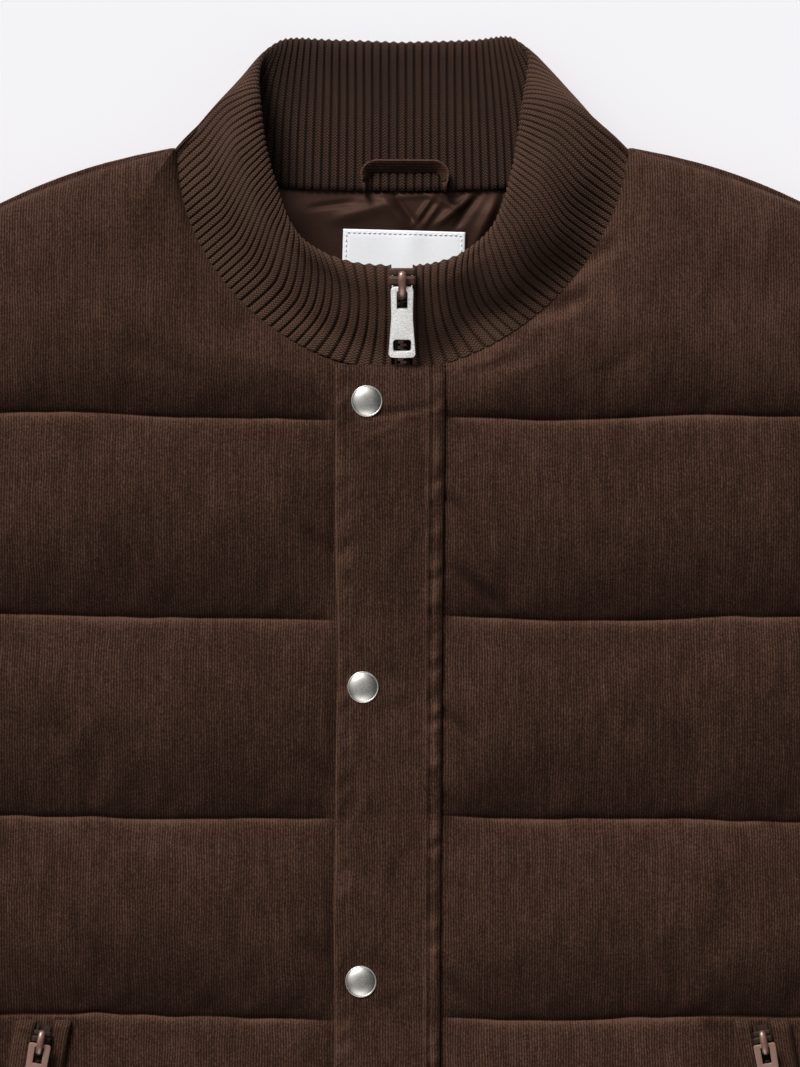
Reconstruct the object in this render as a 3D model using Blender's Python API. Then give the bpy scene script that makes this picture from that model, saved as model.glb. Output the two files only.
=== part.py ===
"""Quilted corduroy gilet with a rib-knit stand collar, zipped up and laid flat on its back.

Metres, +Z up. The garment lies along Y with the collar towards +Y and its front facing up.
The origin is under the middle of its outline, on the surface that it lies on.
A drop is a distance below the high point of the shoulder, towards the hem.
"""
import bisect
import math
from collections import namedtuple

import bpy
import bmesh
from mathutils import Matrix, Vector
from mathutils.bvhtree import BVHTree

# Outline of the body
BODY_LENGTH = 0.6925          # high point of the shoulder to the hem
COLLAR_REACH = 0.0538         # high point of the shoulder to the top edge of the back collar
SHOULDER_Y = (BODY_LENGTH - COLLAR_REACH) / 2
NECK_HALF = 0.1065
FRONT_NECK_DROP = 0.104
BACK_NECK_DROP = 0.019
FRONT_NECK_POWER = {1: 1.76, -1: 1.94}  # by side; 2 is an ellipse, less is straighter
BACK_NECK_POWER = 2.6
BACK_NECK_SHARES = (0.97, 0.91, 0.82, 0.70, 0.56, 0.40, 0.22)   # its points, of the half width
TIP_DROP = 0.0008             # the panels end this far below the shoulder point
SHOULDER_SLOPE = 0.2536
SHOULDER_BEND = 1.083         # the shoulder grows steeper outwards, per metre
BACK_SHOULDER_RISE = 0.003    # the back's shoulder shows above the front's
SHOULDER_END_DROP = 0.0417

OutlineRow = namedtuple("OutlineRow", "drop half_width")
SIDE_OUTLINE = (
    OutlineRow(SHOULDER_END_DROP, 0.2180),
    OutlineRow(0.090, 0.2085),
    OutlineRow(0.150, 0.2040),
    OutlineRow(0.200, 0.2085),
    OutlineRow(0.240, 0.2210),
    OutlineRow(0.272, 0.2440),
    OutlineRow(0.290, 0.2640),
    OutlineRow(0.300, 0.2780),
    OutlineRow(0.420, 0.2755),
    OutlineRow(0.560, 0.2720),
    OutlineRow(BODY_LENGTH, 0.2700),
)

# Quilting
QUILT_FIRST = 0.1255
QUILT_PITCH = 0.0945
QUILT_LINES = 6
YOKE_ROUNDING = 0.060         # how far above the first line the yoke starts to round off
PAD_ROUNDNESS = 0.75          # 1 is a parabola, less is fuller
EDGE_THICK = 0.004            # sewn edges and quilt lines
PAD_THICK = 0.012             # what the filling adds between lines
EDGE_ROUNDING = 0.034         # how far in from an edge the filling is full
PRESSED = 0.35                # share of the filling left under the placket and the pockets
CHANNEL_STEPS = (0.0, 0.06, 0.2, 0.4, 0.6, 0.8, 0.94)
YOKE_DROPS = (TIP_DROP, 0.004, 0.009, 0.015, 0.022, 0.031, SHOULDER_END_DROP, 0.054, 0.067,
              0.079, 0.089, 0.096, 0.101, FRONT_NECK_DROP, 0.110, 0.118)

# Layers, counted up from the surface
BACK_INSIDE_Z = 0.012
SEAM_GAP = 0.0003
WELD = 1e-6
FRONT_INSIDE_Z = BACK_INSIDE_Z + SEAM_GAP

# Columns of the panels, from the middle outwards
ZIP_EDGE = 0.0042             # the fronts end this far from the centre line
FRONT_COLUMNS = (ZIP_EDGE, 0.010, 0.019, 0.0315, 0.055, 0.085, 0.118)
BACK_COLUMNS = (0.0, 0.030, 0.060, 0.090, 0.120, 0.150, 0.180)
OUTER_SHARES = (0.35, 0.65, 0.87, 1.0)

# Placket and snaps
PLACKET_LEFT = -0.0315
PLACKET_RIGHT = 0.019
PLACKET_TOP_DROP = 0.1045
PLACKET_HEM_GAP = 0.002
PLACKET_THICK = 0.003
PLACKET_LIFT = 0.0006         # clear of the fronts
PLACKET_BLEND = 0.030         # width over which the filling comes back beside it
PLACKET_PRESS = 0.9           # 1 would press out the quilting under it
SNAP_DROPS = (0.119, 0.2533, 0.3915, 0.5285, 0.665)
SNAP_X = -0.018
SNAP_RADIUS = 0.0075
SNAP_RISE = 0.0030
SNAP_SEGMENTS = 20
SnapPoint = namedtuple("SnapPoint", "radius_share rise_share")
SNAP_PROFILE = (SnapPoint(0.0, 1.0), SnapPoint(0.45, 0.94), SnapPoint(0.80, 0.70),
                SnapPoint(0.97, 0.34), SnapPoint(1.0, 0.0), SnapPoint(0.0, 0.0))

# Pockets
POCKET_X = 0.168
POCKET_DROP = 0.412
POCKET_RUN = 0.158            # drop from the top end to the bottom end
POCKET_LEAN = 0.175           # outward per unit of drop
POCKET_HALF = 0.0145          # half width over both welts
POCKET_BLEND = 0.024
WELT_INSIDE = 0.0042
WELT_THICK = 0.0025
WELT_LIFT = 0.0006
POCKET_ROWS = 14
POCKET_SLIDER_AT = 0.009      # from the top end

# Collar
RIBS = 66                     # from the centre back to the zip, on each side
RIB_DEPTH = 0.0006            # crest above and valley below the mean wall
COLLAR_WALL = 0.0056          # folded double
FOOT_WALL = 0.6               # share of that at the neck seam
FULL_WALL_AT = 0.6            # height where it is all there
COLLAR_SEAM = 0.0018          # mean wall's distance from the neck edge of the panels
COLLAR_BACK_Z = 0.0072
COLLAR_SIDE_Z = 0.0155
COLLAR_FRONT_Z = 0.0180
COLLAR_END_X = 0.0050         # the collar ends this far from the centre line
SIDE_RISE = (0.17, 0.36)      # shares of the way round where its foot rises at the side
FRONT_RISE = (0.34, 0.56)     # and then towards the zip
CORNER_SOFTENING = 26         # smoothing passes over the neck seam's corner at the shoulder
SEAM_POINTS = 120
ROLL = 0.65                   # share of the collar's rise that its roll makes
ROLL_RANGE = (0.12, 0.88)     # heights between which the roll rises

# By side: share of the way round from the centre back to the zip, the collar's top there, how far
# its ribs sway to the back and how far the wall bows out and back over the shoulder
CollarStation = namedtuple("CollarStation", "share top_x top_drop top_z sway bow")
COLLAR_TOP = {
    1: (
        CollarStation(0.00, 0.0000, -0.0510, 0.0026, 0.000, 0.000),
        CollarStation(0.13, 0.0330, -0.0520, 0.0026, 0.000, 0.000),
        CollarStation(0.24, 0.0525, -0.0535, 0.0050, 0.000, 0.004),
        CollarStation(0.295, 0.0600, -0.0475, 0.0120, 0.000, 0.010),
        CollarStation(0.355, 0.0592, -0.0365, 0.0210, 0.001, 0.011),
        CollarStation(0.43, 0.0566, -0.0235, 0.0300, 0.004, 0.006),
        CollarStation(0.535, 0.0535, -0.0030, 0.0360, 0.007, 0.000),
        CollarStation(0.645, 0.0485, 0.0200, 0.0365, 0.008, 0.000),
        CollarStation(0.75, 0.0408, 0.0388, 0.0355, 0.007, 0.000),
        CollarStation(0.85, 0.0280, 0.0502, 0.0345, 0.004, 0.000),
        CollarStation(0.92, 0.0162, 0.0546, 0.0340, 0.003, 0.000),
        CollarStation(1.00, COLLAR_END_X, 0.0562, 0.0340, 0.003, 0.000),
    ),
    -1: (
        CollarStation(0.00, 0.0000, -0.0510, 0.0026, 0.000, 0.000),
        CollarStation(0.13, 0.0340, -0.0522, 0.0026, 0.000, 0.000),
        CollarStation(0.24, 0.0565, -0.0525, 0.0050, 0.000, 0.003),
        CollarStation(0.295, 0.0655, -0.0470, 0.0125, 0.000, 0.006),
        CollarStation(0.355, 0.0682, -0.0385, 0.0230, 0.001, 0.007),
        CollarStation(0.43, 0.0668, -0.0260, 0.0340, 0.005, 0.004),
        CollarStation(0.535, 0.0640, -0.0030, 0.0410, 0.008, 0.000),
        CollarStation(0.645, 0.0574, 0.0200, 0.0400, 0.009, 0.000),
        CollarStation(0.75, 0.0492, 0.0395, 0.0378, 0.008, 0.000),
        CollarStation(0.85, 0.0362, 0.0502, 0.0355, 0.005, 0.000),
        CollarStation(0.92, 0.0216, 0.0548, 0.0342, 0.003, 0.000),
        CollarStation(1.00, COLLAR_END_X, 0.0562, 0.0340, 0.003, 0.000),
    ),
}
SWAY_RANGE = (0.36, 0.70)     # heights between which the upper part sways to the back
HEIGHT_STEP = 0.025           # for measuring the wall's direction
FOOT_POINTS = 4               # of the foot's line, for each rib

WallRow = namedtuple("WallRow", "height depth")
COLLAR_SECTION = (            # height up the collar, share of the wall from its outside
    WallRow(0.0, 0.0),
    WallRow(0.17, 0.0),
    WallRow(0.34, 0.0),
    WallRow(0.50, 0.0),
    WallRow(0.66, 0.0),
    WallRow(0.83, 0.0),
    WallRow(0.955, 0.06),
    WallRow(1.0, 0.5),
    WallRow(0.955, 0.94),
    WallRow(0.72, 1.0),
    WallRow(0.46, 1.0),
    WallRow(0.22, 1.0),
    WallRow(0.0, 1.0),
)

# Neck pieces
LINING_THICK = 0.001
LINING_SHARE = 0.90           # of the neck opening, clear of the collar's foot
LINING_ROWS = 3
LINING_COLUMNS = 8            # on each side of the middle
LINING_SEAM = 0.0006          # below the back's neck edge
LABEL_SIZE = (0.0575, 0.030)
LABEL_AT = (0.001, 0.0385)    # x of the middle, drop of the top edge
LABEL_THICK = 0.0008
LABEL_TURN = math.radians(-1.6)
LOOP_LEFT = -0.0165
LOOP_RIGHT = 0.0215
LOOP_REACH = 0.0110           # from its sewn ends to the top of its arch
LOOP_DROP = 0.0190
LOOP_WIDTH = 0.0065
LOOP_THICK = 0.002
LOOP_CORNER = 0.007
LOOP_SEGMENTS = 5
LOOP_Z = BACK_INSIDE_Z + LINING_THICK + 3 * SEAM_GAP

# Zip
CHAIN_HALF = 0.0035
CHAIN_THICK = 0.003
CHAIN_Z = FRONT_INSIDE_Z + SEAM_GAP
CHAIN_PROUD = 0.0004          # its outside above the collar's mean wall
CHAIN_TOP = 0.93              # height up the collar
CHAIN_BEND = 0.001            # it turns up this far below the collar's foot
CHAIN_STEPS = 10
SLIDER_HEIGHT = 0.79          # height up the collar of the pull's axis
ZIP_ACROSS = Vector((-1, 0, 0))
PULL_TILT = math.radians(10.0)  # towards the collar
POCKET_PULL_TILT = math.radians(5.0)

SliderSizes = namedtuple("SliderSizes", "length width foot thick bail_width bail_wall eye")
MAIN_SLIDER = SliderSizes(0.0125, 0.0130, 0.0105, 0.0026, 0.0036, 0.0011, 0.0016)
POCKET_SLIDER = SliderSizes(0.0095, 0.0090, 0.0075, 0.0020, 0.0030, 0.0010, 0.0014)
SLIDER_LIFT = 0.0011          # its underside above the surface it rides on
SLIDER_ABOVE = 0.62           # share of its length above the pull's axis

PullSizes = namedtuple("PullSizes", "length top waist foot thick bar slot_width slot_end hole")
MAIN_PULL = PullSizes(0.0360, 0.0108, 0.0102, 0.0124, 0.0016, 0.0010, 0.0048, 0.0100,
                      (0.0083, 0.0062))
POCKET_PULL = PullSizes(0.0340, 0.0098, 0.0092, 0.0112, 0.0014, 0.0009, 0.0042, 0.0085,
                        (0.0072, 0.0050))
PULL_CORNER = 0.0024
WAIST_AT = 0.42               # share of its length where a pull is narrowest
HOLE_FROM_END = 0.0046        # centre of the lower hole above the end of the pull
CORNER_STEPS = 4


def clear_scene():
    for thing in list(bpy.data.objects):
        bpy.data.objects.remove(thing, do_unlink=True)


def colour(name, rgb, roughness, metallic=0.0):
    material = bpy.data.materials.new(name)
    material.use_nodes = True
    shader = material.node_tree.nodes["Principled BSDF"]
    shader.inputs["Base Color"].default_value = (*rgb, 1.0)
    shader.inputs["Roughness"].default_value = roughness
    shader.inputs["Metallic"].default_value = metallic
    return material


def object_from_bmesh(bm, name, material):
    bmesh.ops.recalc_face_normals(bm, faces=bm.faces)
    mesh = bpy.data.meshes.new(name)
    bm.to_mesh(mesh)
    bm.free()
    made = bpy.data.objects.new(name, mesh)
    bpy.context.scene.collection.objects.link(made)
    made.data.materials.append(material)
    return made


def smooth_step(value):
    value = min(max(value, 0.0), 1.0)
    return value * value * (3 - 2 * value)


def smooth_between(value, limits):
    return smooth_step((value - limits[0]) / (limits[1] - limits[0]))


def read_table(table, key):
    """Values of a table's other columns at a key, on a smooth curve through its rows."""
    keys = [row[0] for row in table]
    last = len(keys) - 1
    i = min(max(bisect.bisect_right(keys, key) - 1, 0), last - 1)
    span = keys[i + 1] - keys[i]
    t = (key - keys[i]) / span
    values = []
    for column in range(1, len(table[0])):
        slopes = []
        for k in (i, i + 1):
            low, high = max(k - 1, 0), min(k + 1, last)
            slopes.append((table[high][column] - table[low][column]) / (keys[high] - keys[low]))
        start, end = table[i][column], table[i + 1][column]
        values.append((2 * t**3 - 3 * t**2 + 1) * start + (t**3 - 2 * t**2 + t) * span * slopes[0]
                      + (3 * t**2 - 2 * t**3) * end + (t**3 - t**2) * span * slopes[1])
    return values


def place(x, drop, z):
    return Vector((x, SHOULDER_Y - drop, z))


def shoulder_x(drop, rise):
    """Half width where the shoulder line is at this drop; a rise lifts the line in its middle."""
    width = SIDE_OUTLINE[0].half_width - NECK_HALF
    low, high = 0.0, width
    for _ in range(40):
        out = (low + high) / 2
        line = SHOULDER_SLOPE * out + SHOULDER_BEND * out * out
        line -= rise * math.sin(math.pi * out / width)
        if line < drop:
            low = out
        else:
            high = out
    return NECK_HALF + (low + high) / 2


def outer_x(drop, rise=0.0):
    if drop < SHOULDER_END_DROP:
        return shoulder_x(drop, rise)
    return read_table(SIDE_OUTLINE, drop)[0]


def neck_x(drop, depth, power, least):
    """Half width of the neck opening at this drop, or the least half width below it."""
    if drop >= depth:
        return least
    return max(least, NECK_HALF * (1 - (drop / depth) ** power) ** (1 / power))


def front_inner_x(drop, side):
    return neck_x(drop, FRONT_NECK_DROP, FRONT_NECK_POWER[side], ZIP_EDGE)


def back_inner_x(drop):
    return neck_x(drop, BACK_NECK_DROP, BACK_NECK_POWER, 0.0)


def back_neck_drop(x):
    share = min(abs(x) / NECK_HALF, 1.0)
    return BACK_NECK_DROP * (1 - share ** BACK_NECK_POWER) ** (1 / BACK_NECK_POWER)


def quilt_lines():
    return [QUILT_FIRST + QUILT_PITCH * k for k in range(QUILT_LINES)]


def panel_drops():
    drops = list(YOKE_DROPS)
    lines = quilt_lines() + [BODY_LENGTH]
    for top, bottom in zip(lines, lines[1:]):
        drops += [top + (bottom - top) * step for step in CHANNEL_STEPS]
    return drops + [BODY_LENGTH]


def channel_fullness(drop):
    """Share of the filling between quilt lines: none on a line, all in the middle."""
    lines = [QUILT_FIRST - 2 * YOKE_ROUNDING] + quilt_lines() + [BODY_LENGTH]
    if drop < QUILT_FIRST - YOKE_ROUNDING:
        return 1.0
    k = min(bisect.bisect_right(lines, drop) - 1, len(lines) - 2)
    t = 2 * (drop - lines[k]) / (lines[k + 1] - lines[k]) - 1
    return max(0.0, 1 - t * t) ** PAD_ROUNDNESS


def edge_fullness(distance):
    s = min(distance / EDGE_ROUNDING, 1.0)
    return math.sqrt(s * (2 - s))


def distance_to_line(x, drop, line):
    nearest = 1.0
    for (ax, ad), (bx, bd) in zip(line, line[1:]):
        sx, sd = bx - ax, bd - ad
        t = ((x - ax) * sx + (drop - ad) * sd) / (sx * sx + sd * sd)
        t = min(max(t, 0.0), 1.0)
        nearest = min(nearest, math.hypot(x - ax - sx * t, drop - ad - sd * t))
    return nearest


def pocket_x(drop):
    run = min(max(drop - POCKET_DROP, 0.0), POCKET_RUN)
    return POCKET_X + POCKET_LEAN * run


def pressed_share(x, drop, side):
    """How far the filling is pressed flat at a place on a front, by the placket and the pocket."""
    reach = PLACKET_RIGHT if side > 0 else -PLACKET_LEFT
    under_placket = 1 - smooth_step((x - reach) / PLACKET_BLEND)
    along = max(POCKET_DROP - drop, drop - POCKET_DROP - POCKET_RUN, 0.0)
    across = max(abs(x - pocket_x(drop)) - POCKET_HALF, 0.0)
    at_pocket = 1 - smooth_step(math.hypot(along, across) / POCKET_BLEND)
    return max(PLACKET_PRESS * under_placket, at_pocket)


def front_columns(drop, side):
    outer = outer_x(drop)
    centre = pocket_x(max(drop, QUILT_FIRST))
    marks = list(FRONT_COLUMNS) + [centre - POCKET_HALF, centre, centre + POCKET_HALF]
    base = outer_x(max(drop, QUILT_FIRST))
    marks += [marks[-1] + (base - marks[-1]) * share for share in OUTER_SHARES]
    inner = front_inner_x(drop, side)
    return [inner + (outer - inner) * (mark - ZIP_EDGE) / (base - ZIP_EDGE) for mark in marks]


def back_columns(drop):
    outer = outer_x(drop, BACK_SHOULDER_RISE)
    base = outer_x(max(drop, QUILT_FIRST))
    marks = list(BACK_COLUMNS)
    marks += [marks[-1] + (base - marks[-1]) * share for share in OUTER_SHARES]
    inner = back_inner_x(drop)
    return [inner + (outer - inner) * mark / base for mark in marks]


def grid_faces(bm, grid):
    for upper, lower in zip(grid, grid[1:]):
        for j in range(len(upper) - 1):
            bm.faces.new((upper[j], upper[j + 1], lower[j + 1], lower[j]))


def rim_of(grid):
    """The outside of a grid, once round."""
    rim = list(grid[0])
    rim += [row[-1] for row in grid[1:]]
    rim += list(reversed(grid[-1]))[1:]
    rim += [row[0] for row in reversed(grid[1:-1])]
    return rim


def close_to_plane(bm, rim, z):
    """Walls from a rim to its copy at a height, and one flat face over that copy."""
    foot = [bm.verts.new((vert.co.x, vert.co.y, z)) for vert in rim]
    for k, vert in enumerate(rim):
        after = (k + 1) % len(rim)
        bm.faces.new((vert, rim[after], foot[after], foot[k]))
    bm.faces.new(foot)


def slab(name, lower, upper, material):
    """Closed sheet between two grids of points of the same size."""
    bm = bmesh.new()
    low = [[bm.verts.new(point) for point in row] for row in lower]
    high = [[bm.verts.new(point) for point in row] for row in upper]
    grid_faces(bm, low)
    grid_faces(bm, high)
    low_rim, high_rim = rim_of(low), rim_of(high)
    for k, vert in enumerate(low_rim):
        after = (k + 1) % len(low_rim)
        bm.faces.new((vert, low_rim[after], high_rim[after], high_rim[k]))
    return object_from_bmesh(bm, name, material)


def loft(name, sections, material):
    """Closed body through rings of points of the same count, with its ends closed."""
    bm = bmesh.new()
    rings = [[bm.verts.new(point) for point in section] for section in sections]
    for ring, following in zip(rings, rings[1:]):
        for k in range(len(ring)):
            after = (k + 1) % len(ring)
            bm.faces.new((ring[k], ring[after], following[after], following[k]))
    bm.faces.new(rings[0])
    bm.faces.new(rings[-1])
    return object_from_bmesh(bm, name, material)


def moved(grid, dz):
    return [[point + Vector((0, 0, dz)) for point in row] for row in grid]


def front_outline(side):
    drops = panel_drops()
    neck = [(front_inner_x(drop, side), drop) for drop in drops if drop <= FRONT_NECK_DROP]
    return neck, [(outer_x(drop), drop) for drop in drops]


def front_top(x, drop, side, edges):
    full = channel_fullness(drop)
    pressed = pressed_share(x, drop, side)
    full = full * (1 - pressed) + PRESSED * pressed
    full *= min(edge_fullness(distance_to_line(x, drop, line)) for line in edges)
    if drop > BODY_LENGTH - EDGE_ROUNDING:
        full *= edge_fullness(BODY_LENGTH - drop)
    return FRONT_INSIDE_Z + EDGE_THICK + PAD_THICK * full


def front_grid(side):
    edges = front_outline(side)
    return [[place(side * x, drop, front_top(x, drop, side, edges))
             for x in front_columns(drop, side)] for drop in panel_drops()]


def make_front(name, side, material):
    grid = front_grid(side)
    bm = bmesh.new()
    verts = [[bm.verts.new(point) for point in row] for row in grid]
    grid_faces(bm, verts)
    close_to_plane(bm, rim_of(verts), FRONT_INSIDE_Z)
    return object_from_bmesh(bm, name, material), grid


def back_bottom(x, drop, edges):
    full = channel_fullness(drop)
    full *= min(edge_fullness(distance_to_line(x, drop, line)) for line in edges)
    if drop > BODY_LENGTH - EDGE_ROUNDING:
        full *= edge_fullness(BODY_LENGTH - drop)
    return max(0.0, BACK_INSIDE_Z - EDGE_THICK - PAD_THICK * full)


def make_back(name, material):
    """Both halves in one grid. Above the neck's lowest point they part along the neckline."""
    drops = [TIP_DROP] + [back_neck_drop(NECK_HALF * share) for share in BACK_NECK_SHARES]
    drops += [BACK_NECK_DROP] + [d for d in panel_drops() if d > BACK_NECK_DROP + 0.002]
    neck = [(back_inner_x(drop), drop) for drop in drops if drop <= BACK_NECK_DROP]
    side = [(outer_x(drop, BACK_SHOULDER_RISE), drop) for drop in drops]
    bm = bmesh.new()
    rows = []
    for drop in drops:
        columns = back_columns(drop)
        made = {}
        for half in (1, -1):
            for j, x in enumerate(columns):
                if half < 0 and j == 0 and drop >= BACK_NECK_DROP:
                    made[half, j] = made[1, 0]
                    continue
                point = place(half * x, drop, back_bottom(x, drop, (neck, side)))
                made[half, j] = bm.verts.new(point)
        rows.append([[made[half, j] for j in range(len(columns))] for half in (1, -1)])
    for upper, lower in zip(rows, rows[1:]):
        for half in (0, 1):
            grid_faces(bm, [upper[half], lower[half]])
    split = len(neck) - 1
    rim = list(rows[0][0]) + [row[0][-1] for row in rows[1:]]
    rim += list(reversed(rows[-1][0]))[1:] + rows[-1][1][1:]
    rim += [row[1][-1] for row in reversed(rows[:-1])]
    rim += list(reversed(rows[0][1]))[1:]
    rim += [rows[i][1][0] for i in range(1, split + 1)]
    rim += [rows[i][0][0] for i in range(split - 1, 0, -1)]
    close_to_plane(bm, rim, BACK_INSIDE_Z)
    return object_from_bmesh(bm, name, material)


def make_placket(right_grid, left_grid, material):
    """Made from the points of both fronts under it, moved out."""
    across = FRONT_COLUMNS.index(-PLACKET_LEFT)
    short = FRONT_COLUMNS.index(PLACKET_RIGHT)
    drops = panel_drops()
    start = bisect.bisect_left(drops, PLACKET_TOP_DROP) - 1
    lower = [list(reversed(right_row[:across + 1])) + left_row[:short + 1]
             for right_row, left_row in zip(right_grid[start:], left_grid[start:])]
    share = (PLACKET_TOP_DROP - drops[start]) / (drops[start + 1] - drops[start])
    lower[0] = [a.lerp(b, share) for a, b in zip(lower[0], lower[1])]
    share = PLACKET_HEM_GAP / (drops[-1] - drops[-2])
    lower[-1] = [a.lerp(b, share) for a, b in zip(lower[-1], lower[-2])]
    lower = moved(lower, PLACKET_LIFT)
    return slab("placket", lower, moved(lower, PLACKET_THICK), material)


def tree_of(thing):
    return BVHTree.FromPolygons([v.co for v in thing.data.vertices],
                                [p.vertices for p in thing.data.polygons])


def height_on(tree, x, y):
    hit = tree.ray_cast(Vector((x, y, 1.0)), Vector((0, 0, -1)))
    return hit[0].z


def make_snaps(placket, material):
    tree = tree_of(placket)
    for number, drop in enumerate(SNAP_DROPS, 1):
        y = SHOULDER_Y - drop
        reach = (-SNAP_RADIUS, 0, SNAP_RADIUS)
        under = [height_on(tree, SNAP_X + dx, y + dy) for dx in reach for dy in reach]
        bm = bmesh.new()
        verts = [bm.verts.new((row.radius_share * SNAP_RADIUS, 0, row.rise_share * SNAP_RISE))
                 for row in SNAP_PROFILE]
        edges = [bm.edges.new(pair) for pair in zip(verts, verts[1:])]
        bmesh.ops.spin(bm, geom=verts + edges, axis=(0, 0, 1), cent=(0, 0, 0),
                       angle=2 * math.pi, steps=SNAP_SEGMENTS, use_duplicate=False)
        bmesh.ops.remove_doubles(bm, verts=bm.verts, dist=WELD)
        snap = object_from_bmesh(bm, "snap_%d" % number, material)
        snap.location = (SNAP_X, y, max(under) + SEAM_GAP)


def neck_seam(side):
    """One side of the neck edge from the centre back to the centre front, as x and drop."""
    back = []
    front = []
    for k in range(SEAM_POINTS + 1):
        angle = math.pi / 2 * k / SEAM_POINTS
        c, s = math.cos(angle), math.sin(angle)
        back.append((NECK_HALF * s ** (2 / BACK_NECK_POWER),
                     BACK_NECK_DROP * c ** (2 / BACK_NECK_POWER)))
        front.append((NECK_HALF * c ** (2 / FRONT_NECK_POWER[side]),
                      FRONT_NECK_DROP * s ** (2 / FRONT_NECK_POWER[side])))
    return back + front[1:]


def resample(line, count):
    """A line's points again at even distances along it."""
    lengths = [0.0]
    for a, b in zip(line, line[1:]):
        lengths.append(lengths[-1] + math.dist(a, b))
    points = []
    for k in range(count + 1):
        want = lengths[-1] * k / count
        i = min(max(bisect.bisect_right(lengths, want) - 1, 0), len(line) - 2)
        t = (want - lengths[i]) / max(lengths[i + 1] - lengths[i], 1e-9)
        points.append(tuple(a + (b - a) * t for a, b in zip(line[i], line[i + 1])))
    return points


def collar_foot(side):
    """Where the collar's mean outside starts: the neck edge moved in and its corner softened."""
    line = resample(neck_seam(side), SEAM_POINTS)
    corner = max(range(len(line)), key=lambda k: line[k][0] - line[k][1])
    inset = []
    for k, (x, drop) in enumerate(line):
        ax, ad = line[max(k - 1, 0)]
        bx, bd = line[min(k + 1, SEAM_POINTS)]
        away = COLLAR_SEAM / math.dist((ax, ad), (bx, bd))
        if k < corner:
            away = -away
        inset.append((x - (bd - ad) * away, drop + (bx - ax) * away))
    inset[0] = (0.0, inset[0][1])
    for _ in range(CORNER_SOFTENING):
        inset = [inset[0]] + [tuple((a + 2 * b + c) / 4 for a, b, c in zip(*three))
                              for three in zip(inset, inset[1:], inset[2:])] + [inset[-1]]
    while len(inset) > 2 and inset[-2][0] < COLLAR_END_X:
        inset.pop(-2)
    inset[-1] = (COLLAR_END_X, inset[-1][1])
    return resample(inset, FOOT_POINTS * RIBS)


def collar_mean(feet, rib, height):
    """A point of the collar's mean outside; ribs below zero lie on the other side."""
    side = 1 if rib >= 0 else -1
    share = min(abs(rib) / RIBS, 1.0)
    top_x, top_drop, top_z, sway, bow = read_table(COLLAR_TOP[side], share)
    at = share * (len(feet[side]) - 1)
    i = min(int(at), len(feet[side]) - 2)
    ends = zip(feet[side][i], feet[side][i + 1])
    foot_x, foot_drop = (a + (b - a) * (at - i) for a, b in ends)
    foot_z = COLLAR_BACK_Z + (COLLAR_SIDE_Z - COLLAR_BACK_Z) * smooth_between(share, SIDE_RISE)
    foot_z += (COLLAR_FRONT_Z - COLLAR_SIDE_Z) * smooth_between(share, FRONT_RISE)
    x = foot_x + (top_x - foot_x) * height
    drop = foot_drop + (top_drop - foot_drop) * height
    drop -= sway * (smooth_between(height, SWAY_RANGE) - height)
    bulge = bow * math.sin(math.pi * height) * math.sqrt(0.5)
    x += bulge
    drop -= bulge
    rise = (1 - ROLL) * height + ROLL * smooth_between(height, ROLL_RANGE)
    return place(side * x, drop, foot_z + (top_z - foot_z) * rise)


def collar_point(feet, rib, row):
    """A point of the collar's section at a rib, with the rib's crest or valley on both faces."""
    low, high = max(row.height - HEIGHT_STEP, 0.0), min(row.height + HEIGHT_STEP, 1.0)
    left, right = max(rib - 0.5, -RIBS), min(rib + 0.5, RIBS)
    up = collar_mean(feet, rib, high) - collar_mean(feet, rib, low)
    along = collar_mean(feet, right, row.height) - collar_mean(feet, left, row.height)
    out = up.cross(along).normalized()
    crest = RIB_DEPTH * math.cos(2 * math.pi * rib)
    wall = COLLAR_WALL * (FOOT_WALL + (1 - FOOT_WALL) * smooth_step(row.height / FULL_WALL_AT))
    point = collar_mean(feet, rib, row.height)
    return point + out * (crest * (1 - 2 * row.depth) - wall * row.depth)


def make_collar(feet, material):
    ribs = [k / 2 for k in range(-2 * RIBS, 2 * RIBS + 1)]
    sections = [[collar_point(feet, rib, row) for row in COLLAR_SECTION] for rib in ribs]
    return loft("collar", sections, material)


def zip_line(feet):
    """The main zip's outside from the hem to the top of the collar, in the plane of the zip."""
    line = [Vector((0, SHOULDER_Y - BODY_LENGTH, CHAIN_Z + CHAIN_THICK)),
            place(0, FRONT_NECK_DROP + CHAIN_BEND, CHAIN_Z + CHAIN_THICK)]
    for k in range(CHAIN_STEPS + 1):
        height = CHAIN_TOP * k / CHAIN_STEPS
        point, _, out = zip_frame(feet, height)
        line.append(point + out * CHAIN_PROUD)
    return line


def zip_frame(feet, height):
    """Place, direction down the zip and direction out of it, at a height up the collar."""
    point = collar_mean(feet, RIBS, height)
    below = collar_mean(feet, RIBS, max(height - HEIGHT_STEP, 0.0))
    above = collar_mean(feet, RIBS, min(height + HEIGHT_STEP, 1.0))
    down = below - above
    point.x = 0.0
    down.normalize()
    return point, down, ZIP_ACROSS.cross(down)


def make_chain(name, line, across, half, thick, material):
    """A strip along a line, its outside on the line; across is one direction for all of it."""
    sections = []
    for k, point in enumerate(line):
        along = line[min(k + 1, len(line) - 1)] - line[max(k - 1, 0)]
        out = across.cross(along).normalized()
        side = across * half
        sections.append([point - side, point + side, point + side - out * thick,
                         point - side - out * thick])
    return loft(name, sections, material)


def prism(name, outline, width, material):
    """An outline in the plane of the zip (down, out), given a width across it."""
    bm = bmesh.new()
    faces = [[bm.verts.new((x, down, out)) for down, out in outline]
             for x in (-width / 2, width / 2)]
    for k in range(len(outline)):
        after = (k + 1) % len(outline)
        bm.faces.new((faces[0][k], faces[0][after], faces[1][after], faces[1][k]))
    bm.faces.new(faces[0])
    bm.faces.new(faces[1])
    return object_from_bmesh(bm, name, material)


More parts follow.
